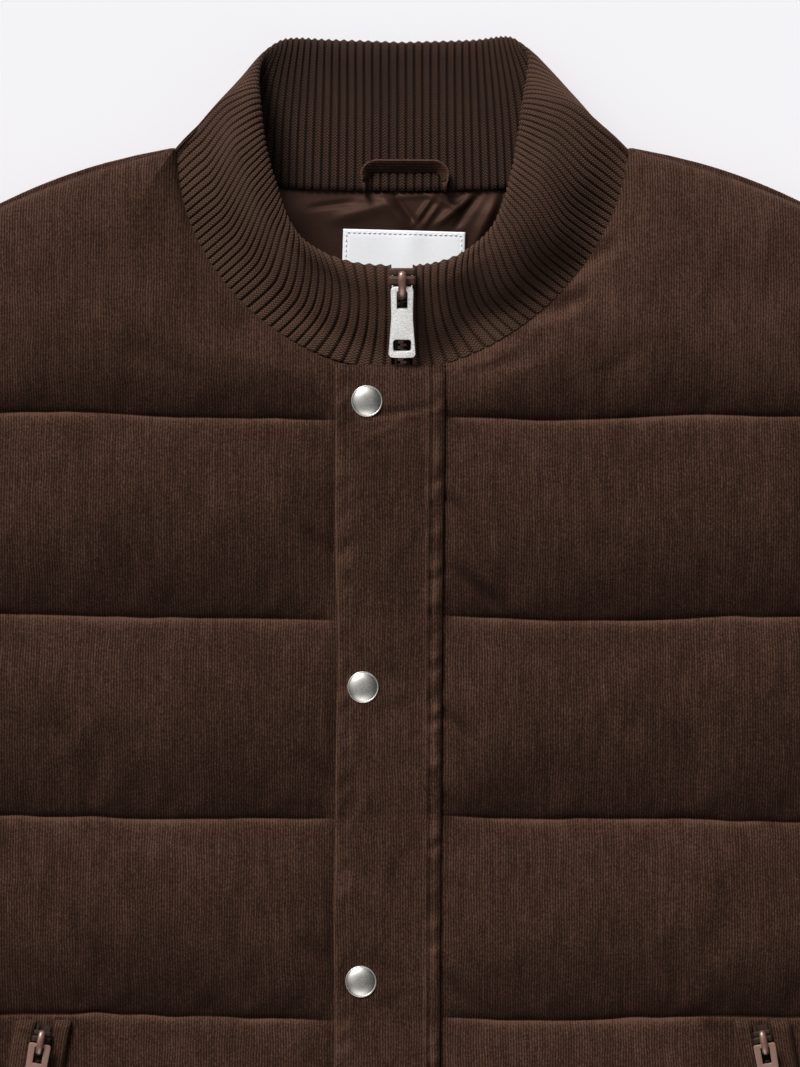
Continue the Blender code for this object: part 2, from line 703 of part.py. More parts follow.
def make_slider(name, sizes, frame, material):
    """Plate with a bail over it. Local x is across, y down the zip, z out; origin on the axis."""
    top = -sizes.eye - sizes.bail_wall
    bm = bmesh.new()
    half_top, half_foot = sizes.width / 2, sizes.foot / 2
    start = -sizes.length * SLIDER_ABOVE
    end = sizes.length + start
    outline = ((-half_top * 0.8, start), (half_top * 0.8, start), (half_top, start * 0.7),
               (half_foot, end), (-half_foot, end), (-half_top, start * 0.7))
    low = [bm.verts.new((x, y, top - sizes.thick)) for x, y in outline]
    high = [bm.verts.new((x, y, top)) for x, y in outline]
    for k in range(len(low)):
        after = (k + 1) % len(low)
        bm.faces.new((low[k], low[after], high[after], high[k]))
    bm.faces.new(low)
    bm.faces.new(high)
    plate = object_from_bmesh(bm, name, material)
    eye, wall = sizes.eye, sizes.bail_wall
    arch = ((-eye - wall, top - wall / 2), (-eye - wall, eye * 0.4), (-eye * 0.5, eye + wall),
            (eye * 0.5, eye + wall), (eye + wall, eye * 0.4), (eye + wall, top - wall / 2),
            (eye, top - wall / 2), (eye, eye * 0.55), (eye * 0.45, eye), (-eye * 0.45, eye),
            (-eye, eye * 0.55), (-eye, top - wall / 2))
    bail = prism(name + "_bail", arch, sizes.bail_width, material)
    join = plate.modifiers.new("bail", "BOOLEAN")
    join.operation = "UNION"
    join.solver = "EXACT"
    join.object = bail
    bail.hide_render = True
    bail.display_type = "WIRE"
    bail.matrix_world = frame
    plate.matrix_world = frame
    return plate


def rounded_outline(corners, radius):
    """A closed outline through corners, each rounded."""
    points = []
    count = len(corners)
    for k, corner in enumerate(corners):
        at = Vector(corner)
        before = (Vector(corners[k - 1]) - at).normalized()
        after = (Vector(corners[(k + 1) % count]) - at).normalized()
        for step in range(CORNER_STEPS + 1):
            t = step / CORNER_STEPS
            near = (1 - t) ** 2
            far = t * t
            points.append(at + before * radius * near + after * radius * far)
    return points


def make_pull(name, sizes, frame, material):
    """Flat tab with a slot round the bail and a hole at its end; origin on its hinge axis."""
    end = sizes.length - sizes.bar
    waist = end * WAIST_AT
    outer = ((-sizes.top / 2, -sizes.bar), (sizes.top / 2, -sizes.bar), (sizes.waist / 2, waist),
             (sizes.foot / 2, end), (-sizes.foot / 2, end), (-sizes.waist / 2, waist))
    half = sizes.slot_width / 2
    slot = ((-half, sizes.bar), (half, sizes.bar), (half, sizes.slot_end), (-half, sizes.slot_end))
    hole_x, hole_y = sizes.hole[0] / 2, sizes.hole[1] / 2
    centre = end - HOLE_FROM_END - hole_y / 2
    hole = ((-hole_x, centre - hole_y), (hole_x, centre - hole_y),
            (hole_x, centre + hole_y), (-hole_x, centre + hole_y))
    curve = bpy.data.curves.new(name, "CURVE")
    curve.dimensions = "2D"
    curve.fill_mode = "BOTH"
    curve.extrude = sizes.thick / 2
    for corners, radius in ((outer, PULL_CORNER), (slot, half * 0.35), (hole, hole_y * 0.55)):
        outline = rounded_outline(corners, radius)
        spline = curve.splines.new("POLY")
        spline.points.add(len(outline) - 1)
        for point, at in zip(spline.points, outline):
            point.co = (at.x, at.y, 0, 1)
        spline.use_cyclic_u = True
    pull = bpy.data.objects.new(name, curve)
    bpy.context.scene.collection.objects.link(pull)
    curve.materials.append(material)
    pull.matrix_world = frame
    return pull


def frame_matrix(origin, across, down, out):
    matrix = Matrix((across, down, out)).transposed().to_4x4()
    matrix.translation = origin
    return matrix


def slider_and_pull(label, surface, across, down, out, sliders, pulls, tilt, materials):
    """A slider on a surface point and a pull on its bail, tilted towards the surface."""
    rise = SLIDER_LIFT + sliders.thick + sliders.bail_wall + sliders.eye
    axis = surface + out * rise
    make_slider(label + "_slider", sliders, frame_matrix(axis, across, down, out), materials[0])
    turned = Matrix.Rotation(-tilt, 3, across)
    make_pull(label + "_pull", pulls, frame_matrix(axis, across, turned @ down, turned @ out),
              materials[1])


def pocket_strip(name, tree, side, low, high, start, thick, lift, material):
    """A strip beside or on a pocket's line, made from the points of the front under it."""
    sections = []
    for k in range(POCKET_ROWS + 1):
        drop = POCKET_DROP + start + (POCKET_RUN - start) * k / POCKET_ROWS
        points = []
        for offset in (low, (low + high) / 2, high):
            x = side * (pocket_x(drop) + offset)
            points.append(Vector((x, SHOULDER_Y - drop, height_on(tree, x, SHOULDER_Y - drop))))
        sections.append([point + Vector((0, 0, lift)) for point in points]
                        + [point + Vector((0, 0, lift + thick)) for point in reversed(points)])
    return loft(name, sections, material)


def make_pocket(label, side, front, cloth, chain, trims):
    tree = tree_of(front)
    pocket_strip(label + "_welt_inner", tree, side, -POCKET_HALF, -WELT_INSIDE, 0.0, WELT_THICK,
                 WELT_LIFT, cloth)
    pocket_strip(label + "_welt_outer", tree, side, WELT_INSIDE, POCKET_HALF, 0.0, WELT_THICK,
                 WELT_LIFT, cloth)
    strip = pocket_strip(label + "_zip", tree, side, -CHAIN_HALF, CHAIN_HALF, 0.0, WELT_THICK,
                         WELT_LIFT, chain)
    drop = POCKET_DROP + POCKET_SLIDER_AT
    x = side * pocket_x(drop)
    y = SHOULDER_Y - drop
    surface = Vector((x, y, height_on(tree_of(strip), x, y)))
    down = Vector((side * POCKET_LEAN, -1, 0)).normalized()
    across = Vector((0, 0, 1)).cross(down) * -1
    slider_and_pull(label, surface, across, down, across.cross(down), POCKET_SLIDER, POCKET_PULL,
                    POCKET_PULL_TILT, trims)


def make_lining(material):
    """The back's lining where the neck opening shows it, between the two neck edges."""
    power = min(FRONT_NECK_POWER.values())
    lower = []
    for k in range(LINING_ROWS + 1):
        row = []
        for j in range(-LINING_COLUMNS, LINING_COLUMNS + 1):
            share = LINING_SHARE * j / LINING_COLUMNS
            x = LINING_SHARE * NECK_HALF * share
            top = back_neck_drop(x) + LINING_SEAM
            bottom = LINING_SHARE * FRONT_NECK_DROP * (1 - abs(share) ** power) ** (1 / power)
            drop = top + (bottom - top) * k / LINING_ROWS
            row.append(place(x, drop, BACK_INSIDE_Z + SEAM_GAP))
        lower.append(row)
    return slab("lining", lower, moved(lower, LINING_THICK), material)


def make_label(material):
    width, length = LABEL_SIZE
    z = BACK_INSIDE_Z + 2 * SEAM_GAP + LINING_THICK
    turn = Matrix.Rotation(LABEL_TURN, 2)
    lower = []
    for v in (0.0, length):
        row = []
        for u in (-width / 2, width / 2):
            offset = turn @ Vector((u, -v))
            row.append(place(LABEL_AT[0] + offset.x, LABEL_AT[1] - offset.y, z))
        lower.append(row)
    return slab("label", lower, moved(lower, LABEL_THICK), material)


def make_loop(material):
    """Hanger loop: a ribbon standing on its edge, its two ends at the back neck seam."""
    corners = ((LOOP_LEFT, 0.0), (LOOP_LEFT, LOOP_REACH), (LOOP_RIGHT, LOOP_REACH),
               (LOOP_RIGHT, 0.0))
    path = [Vector(corners[0])]
    for k in (1, 2):
        at = Vector(corners[k])
        before = (Vector(corners[k - 1]) - at).normalized() * LOOP_CORNER
        after = (Vector(corners[k + 1]) - at).normalized() * LOOP_CORNER
        for step in range(LOOP_SEGMENTS + 1):
            t = step / LOOP_SEGMENTS
            path.append(at + before * (1 - t) ** 2 + after * t * t)
    path.append(Vector(corners[3]))
    sections = []
    for k, point in enumerate(path):
        along = path[min(k + 1, len(path) - 1)] - path[max(k - 1, 0)]
        out = Vector((-along.y, along.x)).normalized() * LOOP_THICK / 2
        ring = []
        for offset, z in ((out, 0), (-out, 0), (-out, LOOP_WIDTH), (out, LOOP_WIDTH)):
            at = point + offset
            ring.append(place(at.x, LOOP_DROP - at.y, LOOP_Z + z))
        sections.append(ring)
    return loft("hanger_loop", sections, material)


def main():
    clear_scene()
    cord = colour("corduroy", (0.052, 0.026, 0.018), 0.9)
    knit = colour("rib_knit", (0.050, 0.028, 0.020), 0.9)
    satin = colour("lining_satin", (0.050, 0.027, 0.020), 0.4)
    white = colour("label_satin", (0.82, 0.82, 0.84), 0.5)
    nickel = colour("snap_nickel", (0.55, 0.53, 0.50), 0.3, 1.0)
    silver = colour("pull_silver", (0.80, 0.78, 0.75), 0.4, 1.0)
    slider = colour("slider_brown", (0.10, 0.06, 0.045), 0.4)
    painted = colour("pocket_pull_brown", (0.18, 0.11, 0.085), 0.6)
    chain = colour("zip_brown", (0.040, 0.025, 0.020), 0.6)

    left, left_grid = make_front("front_left", 1, cord)
    right, right_grid = make_front("front_right", -1, cord)
    make_back("back", cord)
    placket = make_placket(right_grid, left_grid, cord)
    make_snaps(placket, nickel)

    feet = {side: collar_foot(side) for side in (1, -1)}
    make_collar(feet, knit)
    make_chain("zip", zip_line(feet), Vector((1, 0, 0)), CHAIN_HALF, CHAIN_THICK, chain)
    point, down, out = zip_frame(feet, SLIDER_HEIGHT)
    slider_and_pull("zip", point, ZIP_ACROSS, down, out, MAIN_SLIDER, MAIN_PULL,
                    PULL_TILT, (slider, silver))
    make_pocket("pocket_left", 1, left, cord, chain, (slider, painted))
    make_pocket("pocket_right", -1, right, cord, chain, (slider, painted))

    make_lining(satin)
    make_label(white)
    make_loop(cord)


main()
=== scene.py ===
import bisect
import math

import bmesh
import bpy
import numpy as np
from mathutils import Matrix, Vector


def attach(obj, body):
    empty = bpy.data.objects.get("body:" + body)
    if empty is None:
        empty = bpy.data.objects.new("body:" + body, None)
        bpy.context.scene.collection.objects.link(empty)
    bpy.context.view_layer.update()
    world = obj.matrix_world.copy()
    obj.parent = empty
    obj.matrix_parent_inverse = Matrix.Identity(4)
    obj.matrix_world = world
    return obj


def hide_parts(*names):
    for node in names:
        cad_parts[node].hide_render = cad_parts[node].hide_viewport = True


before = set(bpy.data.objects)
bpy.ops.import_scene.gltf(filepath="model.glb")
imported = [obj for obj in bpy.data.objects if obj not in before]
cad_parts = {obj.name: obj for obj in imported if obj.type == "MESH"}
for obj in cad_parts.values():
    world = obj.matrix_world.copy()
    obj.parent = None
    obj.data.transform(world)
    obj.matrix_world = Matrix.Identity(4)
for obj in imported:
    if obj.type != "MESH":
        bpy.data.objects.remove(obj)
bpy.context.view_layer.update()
bpy.ops.object.select_all(action="DESELECT")
scene = bpy.context.scene
print("frame loaded")


# camera, floor and light

view = {"height": 2.22, "x": -0.001, "drop": 0.1812, "lens": 157.9}
light = {"key": 3.7, "spread": math.radians(22), "from": (-0.42, 0.80, 0.66), "sky": 0.125,
         "patch": 1.5, "patchPower": 7.0,
         "cards": (((-0.06, -0.84, 0.54), 4.2, 12.0), ((-0.50, 0.52, 0.69), 1.1, 4.0))}


# the cut, in metres; a drop is a distance below the high point of the shoulder

bodyCut = {
    "length": 0.6925, "collarReach": 0.0538, "neckHalf": 0.1065,
    "frontNeckDrop": 0.104, "frontNeckPower": {1: 1.76, -1: 1.94},
    "backNeckDrop": 0.019, "backNeckPower": 2.6, "tipDrop": 0.0008,
    "shoulderSlope": 0.2536, "shoulderBend": 1.083, "shoulderEnd": 0.0417, "backRise": 0.003,
    "zipEdge": 0.0042, "backInside": 0.012, "frontInside": 0.0123,
    "side": ((0.0417, 0.2180), (0.090, 0.2085), (0.150, 0.2040), (0.200, 0.2085), (0.240, 0.2210),
             (0.272, 0.2440), (0.290, 0.2640), (0.300, 0.2780), (0.420, 0.2755), (0.560, 0.2720),
             (0.6925, 0.2700)),
}
shoulderY = (bodyCut["length"] - bodyCut["collarReach"]) / 2

quilting = {
    "first": 0.1255, "pitch": 0.0945, "lines": 6, "yokeRounding": 0.060, "lip": 0.15, "lipReach": 0.0024,
    "edge": 0.004, "pad": 0.0135, "edgeRounding": 0.034, "roundOut": 0.0012, "pressed": 0.35,
    "start": 0.85, "pressure": 4.0, "slack": -0.003, "cap": 0.006, "frames": 20,
    "undulation": 0.0005, "pucker": 0.0005, "puckerReach": 0.009, "creased": 1.6,
}
placketCut = {
    "left": -0.0315, "right": 0.019, "topDrop": 0.1018, "hemGap": 0.002, "thick": 0.0020,
    "lift": 0.0005, "nearBlend": 0.005, "blend": 0.026, "press": 0.9, "roll": 0.0022, "topSewing": 0.0082,
}
snapCut = {"drops": (0.119, 0.2533, 0.3915, 0.5285, 0.665), "radius": 0.0075,
           "x": (-0.0165, -0.0183, -0.0193, -0.0185, -0.018)}
pocketCut = {"x": 0.168, "drop": 0.412, "run": 0.158, "top": 0.4092, "lean": 0.175, "half": 0.0145,
             "innerHalf": 0.0124, "blend": 0.024, "topBlend": 14, "topGap": 0.0012, "weltInside": 0.0040,
             "weltLift": 0.0005, "weltHigh": 0.0024, "weltEnd": 0.003}


def cubic(t, start, end, startSlope, endSlope, span=1.0):
    return ((2 * t**3 - 3 * t**2 + 1) * start + (t**3 - 2 * t**2 + t) * span * startSlope
            + (3 * t**2 - 2 * t**3) * end + (t**3 - t**2) * span * endSlope)


def readTable(table, key):
    # a smooth curve through rows of (key, values)
    keys = [row[0] for row in table]
    last = len(keys) - 1
    i = min(max(bisect.bisect_right(keys, key) - 1, 0), last - 1)
    span = keys[i + 1] - keys[i]
    t = (key - keys[i]) / span
    values = []
    for column in range(1, len(table[0])):
        slopes = []
        for k in (i, i + 1):
            low, high = max(k - 1, 0), min(k + 1, last)
            slopes.append((table[high][column] - table[low][column]) / (keys[high] - keys[low]))
        values.append(cubic(t, table[i][column], table[i + 1][column], *slopes, span))
    return values


def smoothStep(value):
    value = np.clip(value, 0.0, 1.0)
    return value * value * (3 - 2 * value)


def bell(distance, width):
    return np.exp(-(distance / width) ** 2)


def softNoise(a, b, seed):
    # value noise from -1 to 1, one cell per unit
    a, b = np.broadcast_arrays(np.asarray(a, float), np.asarray(b, float))
    ia, ib = np.floor(a), np.floor(b)
    fa, fb = smoothStep(a - ia), smoothStep(b - ib)

    def corner(i, j):
        return np.mod(np.abs(np.sin(i * 127.1 + j * 311.7 + seed * 74.7) * 43758.5453), 1.0) * 2 - 1

    low = corner(ia, ib) * (1 - fa) + corner(ia + 1, ib) * fa
    high = corner(ia, ib + 1) * (1 - fa) + corner(ia + 1, ib + 1) * fa
    return low * (1 - fb) + high * fb


def place(name, data):
    placed = bpy.data.objects.new(name, data)
    scene.collection.objects.link(placed)
    return placed


def newPiece(name, verts, faces):
    mesh = bpy.data.meshes.new(name)
    mesh.from_pydata([tuple(v) for v in verts], [], faces)
    mesh.update()
    mesh.shade_smooth()
    return place(name, mesh)


def closedPiece(name, verts, faces):
    # a solid piece with its faces turned out
    piece = newPiece(name, verts, faces)
    bm = bmesh.new()
    bm.from_mesh(piece.data)
    bmesh.ops.recalc_face_normals(bm, faces=bm.faces)
    bm.to_mesh(piece.data)
    bm.free()
    return piece


def giveUv(piece, uv):
    layer = piece.data.uv_layers.new(name="clothUv")
    index = np.empty(len(piece.data.loops), dtype=np.int32)
    piece.data.loops.foreach_get("vertex_index", index)
    layer.data.foreach_set("uv", np.asarray(uv, dtype=np.float32)[index].ravel())


def dress(piece, slot, material, *nodes, body="garment"):
    piece.data.materials.clear()
    piece.data.materials.append(material)
    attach(piece, body)
    if nodes:
        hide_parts(*nodes)


def gridFaces(rows, columns, start=0, flip=False):
    faces = []
    for i in range(rows - 1):
        for j in range(columns - 1):
            a = start + i * columns + j
            quad = (a, a + 1, a + columns + 1, a + columns)
            faces.append(quad[::-1] if flip else quad)
    return faces


def rimIndex(rows, columns):
    rim = list(range(columns))
    rim += [i * columns + columns - 1 for i in range(1, rows)]
    rim += [(rows - 1) * columns + j for j in range(columns - 2, -1, -1)]
    rim += [i * columns for i in range(rows - 2, 0, -1)]
    return rim


def tubeFaces(rings, count, start=0):
    # walls between rings of points, and a cap at each end
    faces = []
    for k in range(rings - 1):
        for j in range(count):
            a, b = start + k * count + j, start + k * count + (j + 1) % count
            faces.append((a, b, b + count, a + count))
    return faces + [tuple(start + ring * count + j for j in range(count)) for ring in (0, rings - 1)]


def pathLengths(line):
    lengths = [0.0]
    for a, b in zip(line, line[1:]):
        lengths.append(lengths[-1] + math.dist(a, b))
    return lengths


def onPath(lengths, distance):
    # the stretch of a path that a distance falls on, and how far along it
    i = min(max(bisect.bisect_right(lengths, distance) - 1, 0), len(lengths) - 2)
    return i, (distance - lengths[i]) / max(lengths[i + 1] - lengths[i], 1e-9)


def layeredSheet(name, x, drop, low, high):
    # two grids of the same shape joined round their rims
    count = x.size
    verts = np.concatenate([np.stack([x, shoulderY - drop, z], axis=-1).reshape(-1, 3) for z in (low, high)])
    faces = gridFaces(*x.shape) + gridFaces(*x.shape, count, True)
    rim = rimIndex(*x.shape)
    for k, a in enumerate(rim):
        b = rim[(k + 1) % len(rim)]
        faces.append((a, b, b + count, a + count))
    return closedPiece(name, verts, faces)


# materials

def add(tree, kind, **settings):
    node = tree.nodes.new(kind)
    for key, value in settings.items():
        setattr(node, key, value)
    return node


def startMaterial(name):
    material = bpy.data.materials.new(name)
    material.use_nodes = True
    tree = material.node_tree
    return material, tree.nodes["Principled BSDF"], add(tree, "ShaderNodeTexCoord").outputs["Object"]


def join(value, socket):
    socket.id_data.links.new(value, socket)


def calc(operation, first, second=None):
    # a math node; each value is a socket or a number
    tree = next(value.id_data for value in (first, second) if hasattr(value, "links"))
    node = add(tree, "ShaderNodeMath", operation=operation)
    for socket, value in zip(node.inputs, (first, second)):
        if hasattr(value, "links"):
            join(value, socket)
        elif value is not None:
            socket.default_value = value
    return node.outputs[0]


def plus(total, *others):
    for value in others:
        total = calc("ADD", total, value)
    return total


def minus(first, second):
    return calc("SUBTRACT", first, second)


def times(first, second):
    return calc("MULTIPLY", first, second)


def apart(vector):
    node = add(vector.id_data, "ShaderNodeSeparateXYZ")
    join(vector, node.inputs[0])
    return node.outputs["X"], node.outputs["Y"]


# reads the painted light and shade stored on each point of a piece
def paintedLightOf(shader):
    return add(shader.id_data, "ShaderNodeAttribute", attribute_name="paintedLight").outputs["Fac"]


def noiseOn(coords, scale, detail=2.0, roughness=0.5):
    node = add(coords.id_data, "ShaderNodeTexNoise")
    join(coords, node.inputs["Vector"])
    for name, value in (("Scale", scale), ("Detail", detail), ("Roughness", roughness)):
        node.inputs[name].default_value = value
    return node.outputs["Fac"]


def mapped(coords, turn=0.0, stretch=(1, 1, 1)):
    node = add(coords.id_data, "ShaderNodeMapping")
    join(coords, node.inputs["Vector"])
    node.inputs["Rotation"].default_value = (0, 0, turn)
    node.inputs["Scale"].default_value = stretch
    return node.outputs["Vector"]


def tint(shader, tone, *stops):
    # colour the shader by a ramp
    node = add(shader.id_data, "ShaderNodeValToRGB")
    join(tone, node.inputs["Fac"])
    elements = node.color_ramp.elements
    while len(elements) < len(stops):
        elements.new(0.5)
    for element, (at, rgb) in zip(elements, stops):
        element.position = at
        element.color = (*rgb, 1.0)
    join(node.outputs["Color"], shader.inputs["Base Color"])


def bump(shader, height, strength, distance):
    node = add(shader.id_data, "ShaderNodeBump")
    node.inputs["Strength"].default_value = strength
    node.inputs["Distance"].default_value = distance
    join(height, node.inputs["Height"])
    join(node.outputs["Normal"], shader.inputs["Normal"])


def setShader(shader, **values):
    for name, value in values.items():
        shader.inputs[name.replace("_", " ")].default_value = value


# weights: wale, streak, grain, patch, smudge in the tone; wale, streak, grain in the relief
# valley, side and crest are the ramp's dark, middle and light colours; through the wale weight the grooves
# between wales take painted shade and the crests painted light
cordFinish = {
    "wale": 0.00123, "wobble": 0.0022, "weights": (0.46, 0.55, 1.30, 0.44, 0.36),
    "relief": (0.55, 0.35, 0.45),
    "valley": (0.0120, 0.0050, 0.0030), "side": (0.0310, 0.0135, 0.0083), "crest": (0.0860, 0.0450, 0.0310),
    "sheen": 0.10, "sheenTint": (1.0, 0.55, 0.38, 1),
}


def needlecord(name, turn=0.0):
    # fine wales run along local Y, each with its own broken streaks of nap
    material, shader, coords = startMaterial(name)
    x, y = apart(mapped(coords, turn))
    wobble = times(minus(noiseOn(coords, 55.0, 3.0), 0.5), cordFinish["wobble"])
    across = calc("DIVIDE", plus(x, wobble), cordFinish["wale"])
    wale = plus(times(calc("COSINE", times(across, 2 * math.pi)), 0.5), 0.5)
    spot = add(shader.id_data, "ShaderNodeCombineXYZ")
    join(times(calc("ROUND", across), 5.37), spot.inputs["X"])
    join(times(y, 34.0), spot.inputs["Y"])
    streak = noiseOn(spot.outputs[0], 1.0, 3.0, 0.6)
    grain = noiseOn(mapped(coords, turn, (1.0, 0.6, 1.0)), 1350.0, 2.0, 0.6)
    patch = noiseOn(coords, 24.0, 4.0, 0.6)
    smudge = noiseOn(mapped(coords, turn, (1.0, 0.45, 1.0)), 150.0, 3.0, 0.6)
    # the stored painted light and shade, and painted shade in the grooves between wales, over random tone
    toneWithPaintedLight = plus(0.50, paintedLightOf(shader))
    for tone, weight in zip((wale, streak, grain, patch, smudge), cordFinish["weights"]):
        toneWithPaintedLight = plus(toneWithPaintedLight, times(minus(tone, 0.5), weight))
    tint(shader, toneWithPaintedLight, (0.16, cordFinish["valley"]), (0.50, cordFinish["side"]), (1.0, cordFinish["crest"]))
    relief = plus(*(times(tone, weight) for tone, weight in zip((wale, streak, grain), cordFinish["relief"])))
    bump(shader, relief, 0.5, 0.00045)
    setShader(shader, Roughness=0.95, Sheen_Weight=cordFinish["sheen"], Sheen_Roughness=0.45,
              Sheen_Tint=cordFinish["sheenTint"], Specular_IOR_Level=0.10)
    return material


knitFinish = {
    "deep": (0.0035, 0.0017, 0.0012), "low": (0.0100, 0.0050, 0.0034), "mid": (0.0380, 0.0190, 0.0122),
    "high": (0.0900, 0.0500, 0.0350), "sheen": 0.10, "sheenTint": (1.0, 0.6, 0.42, 1),
}


def ribKnit(name):
    # uv: u counts ribs, v counts stitches up the collar; two columns of V stitches on each rib
    material, shader, coords = startMaterial(name)
    u, v = apart(add(shader.id_data, "ShaderNodeUVMap", uv_map="clothUv").outputs["UV"])
    lean = calc("ABSOLUTE", minus(calc("FRACT", times(u, 2.0)), 0.5))
    stitch = calc("SINE", times(plus(v, times(lean, 1.7)), 2 * math.pi))
    stitch = plus(times(stitch, 0.5), 0.5)
    valley = calc("ABSOLUTE", minus(calc("FRACT", u), 0.5))
    split = times(calc("MAXIMUM", minus(valley, 0.42), 0.0), 1.6)
    crest = minus(calc("MINIMUM", times(valley, 3.6), 1.0), split)
    fuzz = noiseOn(coords, 1200.0, 3.0, 0.65)
    patch = noiseOn(coords, 40.0, 3.0)
    paintedLight = paintedLightOf(shader)
    # stitches stand out more where shade is painted
    depth = minus(0.50, times(calc("MINIMUM", paintedLight, 0.0), 1.2))  # more on the inside
    weave = times(minus(stitch, 0.5), depth)
    # painted shade in the valleys between ribs and down a faint split in each, and the stored painted light
    # and shade
    tone = plus(times(crest, 0.42), 0.25, weave, times(fuzz, 0.52), 0.04, times(minus(patch, 0.5), 0.25), paintedLight)
    stops = (0.0, "deep"), (0.38, "low"), (0.83, "mid"), (1.18, "high")
    tint(shader, tone, *((at, knitFinish[key]) for at, key in stops))
    bump(shader, plus(times(stitch, 0.8), times(fuzz, 0.55)), 0.6, 0.0005)
    setShader(shader, Roughness=0.95, Sheen_Weight=knitFinish["sheen"], Sheen_Roughness=0.5,
              Sheen_Tint=knitFinish["sheenTint"], Specular_IOR_Level=0.10)
    return material


def satin(name, dark, light, roughness, thread, sheen=0.2, shine=0.5, metallic=0.0):
    material, shader, coords = startMaterial(name)
    fine = noiseOn(mapped(coords, 0.0, (0.25, 1.0, 1.0)), thread, 2.0)
    broad = noiseOn(coords, 60.0, 3.0)
    tint(shader, plus(times(fine, 0.5), times(broad, 0.5)), (0.3, dark), (0.7, light))
    bump(shader, fine, 0.25, 0.0002)
    setShader(shader, Roughness=roughness, Sheen_Weight=sheen, Specular_IOR_Level=shine, Metallic=metallic)
    return material


def metal(name, dark, light, roughness, grain, relief, metallic=1.0, grainScale=900.0, shine=0.5):
    material, shader, coords = startMaterial(name)
    fine = noiseOn(coords, grainScale, 3.0, 0.6)
    broad = noiseOn(coords, 150.0, 2.0)
    tint(shader, plus(times(fine, grain), times(broad, 1.0 - grain)), (0.35, dark), (0.62, light))
    join(plus(times(fine, 0.2), roughness - 0.1), shader.inputs["Roughness"])
    bump(shader, fine, relief, 0.0003)
    setShader(shader, Metallic=metallic, Specular_IOR_Level=shine)
    return material


# a satin's values: dark, light, roughness, thread, sheen, shine, metallic
# a metal's: dark, light, roughness, grain, relief, metallic, scale of its grain, shine
cordMaterial = needlecord("needlecord")
loopCord = needlecord("needlecordLoop", math.radians(90))
weltCord = {1: needlecord("needlecordWeltLeft", math.atan(-pocketCut["lean"])),
            -1: needlecord("needlecordWeltRight", math.atan(pocketCut["lean"]))}
knitMaterial = ribKnit("ribKnit")
liningMaterial = satin("liningSatin", (0.0225, 0.0113, 0.0080), (0.0335, 0.0174, 0.0126), 0.48, 2200.0,
                       0.0, 0.03, 0.40)
labelMaterial = satin("labelSatin", (0.77, 0.78, 0.80), (0.84, 0.85, 0.87), 0.55, 2600.0, 0.1)
threadMaterial = satin("brownThread", (0.022, 0.0105, 0.0068), (0.046, 0.023, 0.0155), 0.7, 3000.0, 0.0, 0.15)
whiteThread = satin("whiteThread", (0.70, 0.71, 0.72), (0.80, 0.80, 0.82), 0.6, 3000.0)
nickelMaterial = metal("snapNickel", (0.34, 0.328, 0.305), (0.40, 0.387, 0.358), 0.36, 0.2, 0.03)
silverMaterial = metal("grainedSilver", (0.55, 0.53, 0.50), (0.93, 0.92, 0.90), 0.42, 0.9, 0.30, 0.25, 1500.0)
sliderMaterial = metal("brownEnamel", (0.050, 0.027, 0.019), (0.086, 0.048, 0.035), 0.58, 0.3, 0.08,
                       0.0, 900.0, 0.15)
# a darker copy of the brown enamel: painted shade for the pocket sliders under the welts
shadedSliderMaterial = metal("shadedBrownEnamel", (0.018, 0.011, 0.008), (0.034, 0.021, 0.015), 0.60, 0.3, 0.08,
                           0.0, 900.0, 0.12)
bailMaterial = metal("copperEnamel", (0.150, 0.080, 0.062), (0.230, 0.128, 0.102), 0.30, 0.3, 0.05, 0.4)
pocketPullMaterial = metal("mattBrownEnamel", (0.190, 0.105, 0.082), (0.252, 0.143, 0.113),
                           0.50, 0.5, 0.12, 0.0)
tapeMaterial = satin("zipTape", (0.014, 0.008, 0.006), (0.030, 0.018, 0.013), 0.85, 1500.0, 0.0, 0.08)
toothMaterial = metal("zipTooth", (0.050, 0.029, 0.023), (0.110, 0.066, 0.053),
                      0.45, 0.4, 0.1, 0.0, 900.0, 0.25)
print("materials made")


# the panels

def shoulderX(drop, rise):
    width = bodyCut["side"][0][1] - bodyCut["neckHalf"]
    low, high = 0.0, width
    for _ in range(40):
        out = (low + high) / 2
        line = bodyCut["shoulderSlope"] * out + bodyCut["shoulderBend"] * out * out
        line -= rise * math.sin(math.pi * out / width)
        low, high = (out, high) if line < drop else (low, out)
    return bodyCut["neckHalf"] + (low + high) / 2


def outerX(drop, rise=0.0):
    if drop < bodyCut["shoulderEnd"]:
        return shoulderX(drop, rise)
    return readTable(bodyCut["side"], drop)[0]


def neckX(drop, depth, power, least):
    if drop >= depth:
        return least
    return max(least, bodyCut["neckHalf"] * (1 - (drop / depth) ** power) ** (1 / power))


def backNeckDrop(x):
    share = min(abs(x) / bodyCut["neckHalf"], 1.0)
    power = bodyCut["backNeckPower"]
    return bodyCut["backNeckDrop"] * (1 - share ** power) ** (1 / power)


def quiltLines():
    return [quilting["first"] + quilting["pitch"] * k for k in range(quilting["lines"])]


def panelDrops(start, seamSteps, step):
    # fine rows beside each quilt line and even ones between
    drops = []
    ends = [start] + quiltLines() + [bodyCut["length"]]
    for top, bottom in zip(ends, ends[1:]):
        near = [d for d in seamSteps if d < (bottom - top) / 2]
        inner = np.linspace(top + near[-1], bottom - near[-1],
                            max(3, round((bottom - top - 2 * near[-1]) / step) + 1))
        drops += [top + d for d in near[:-1]] + list(inner) + [bottom - d for d in reversed(near[1:-1])]
    return np.array(drops + [bodyCut["length"]])


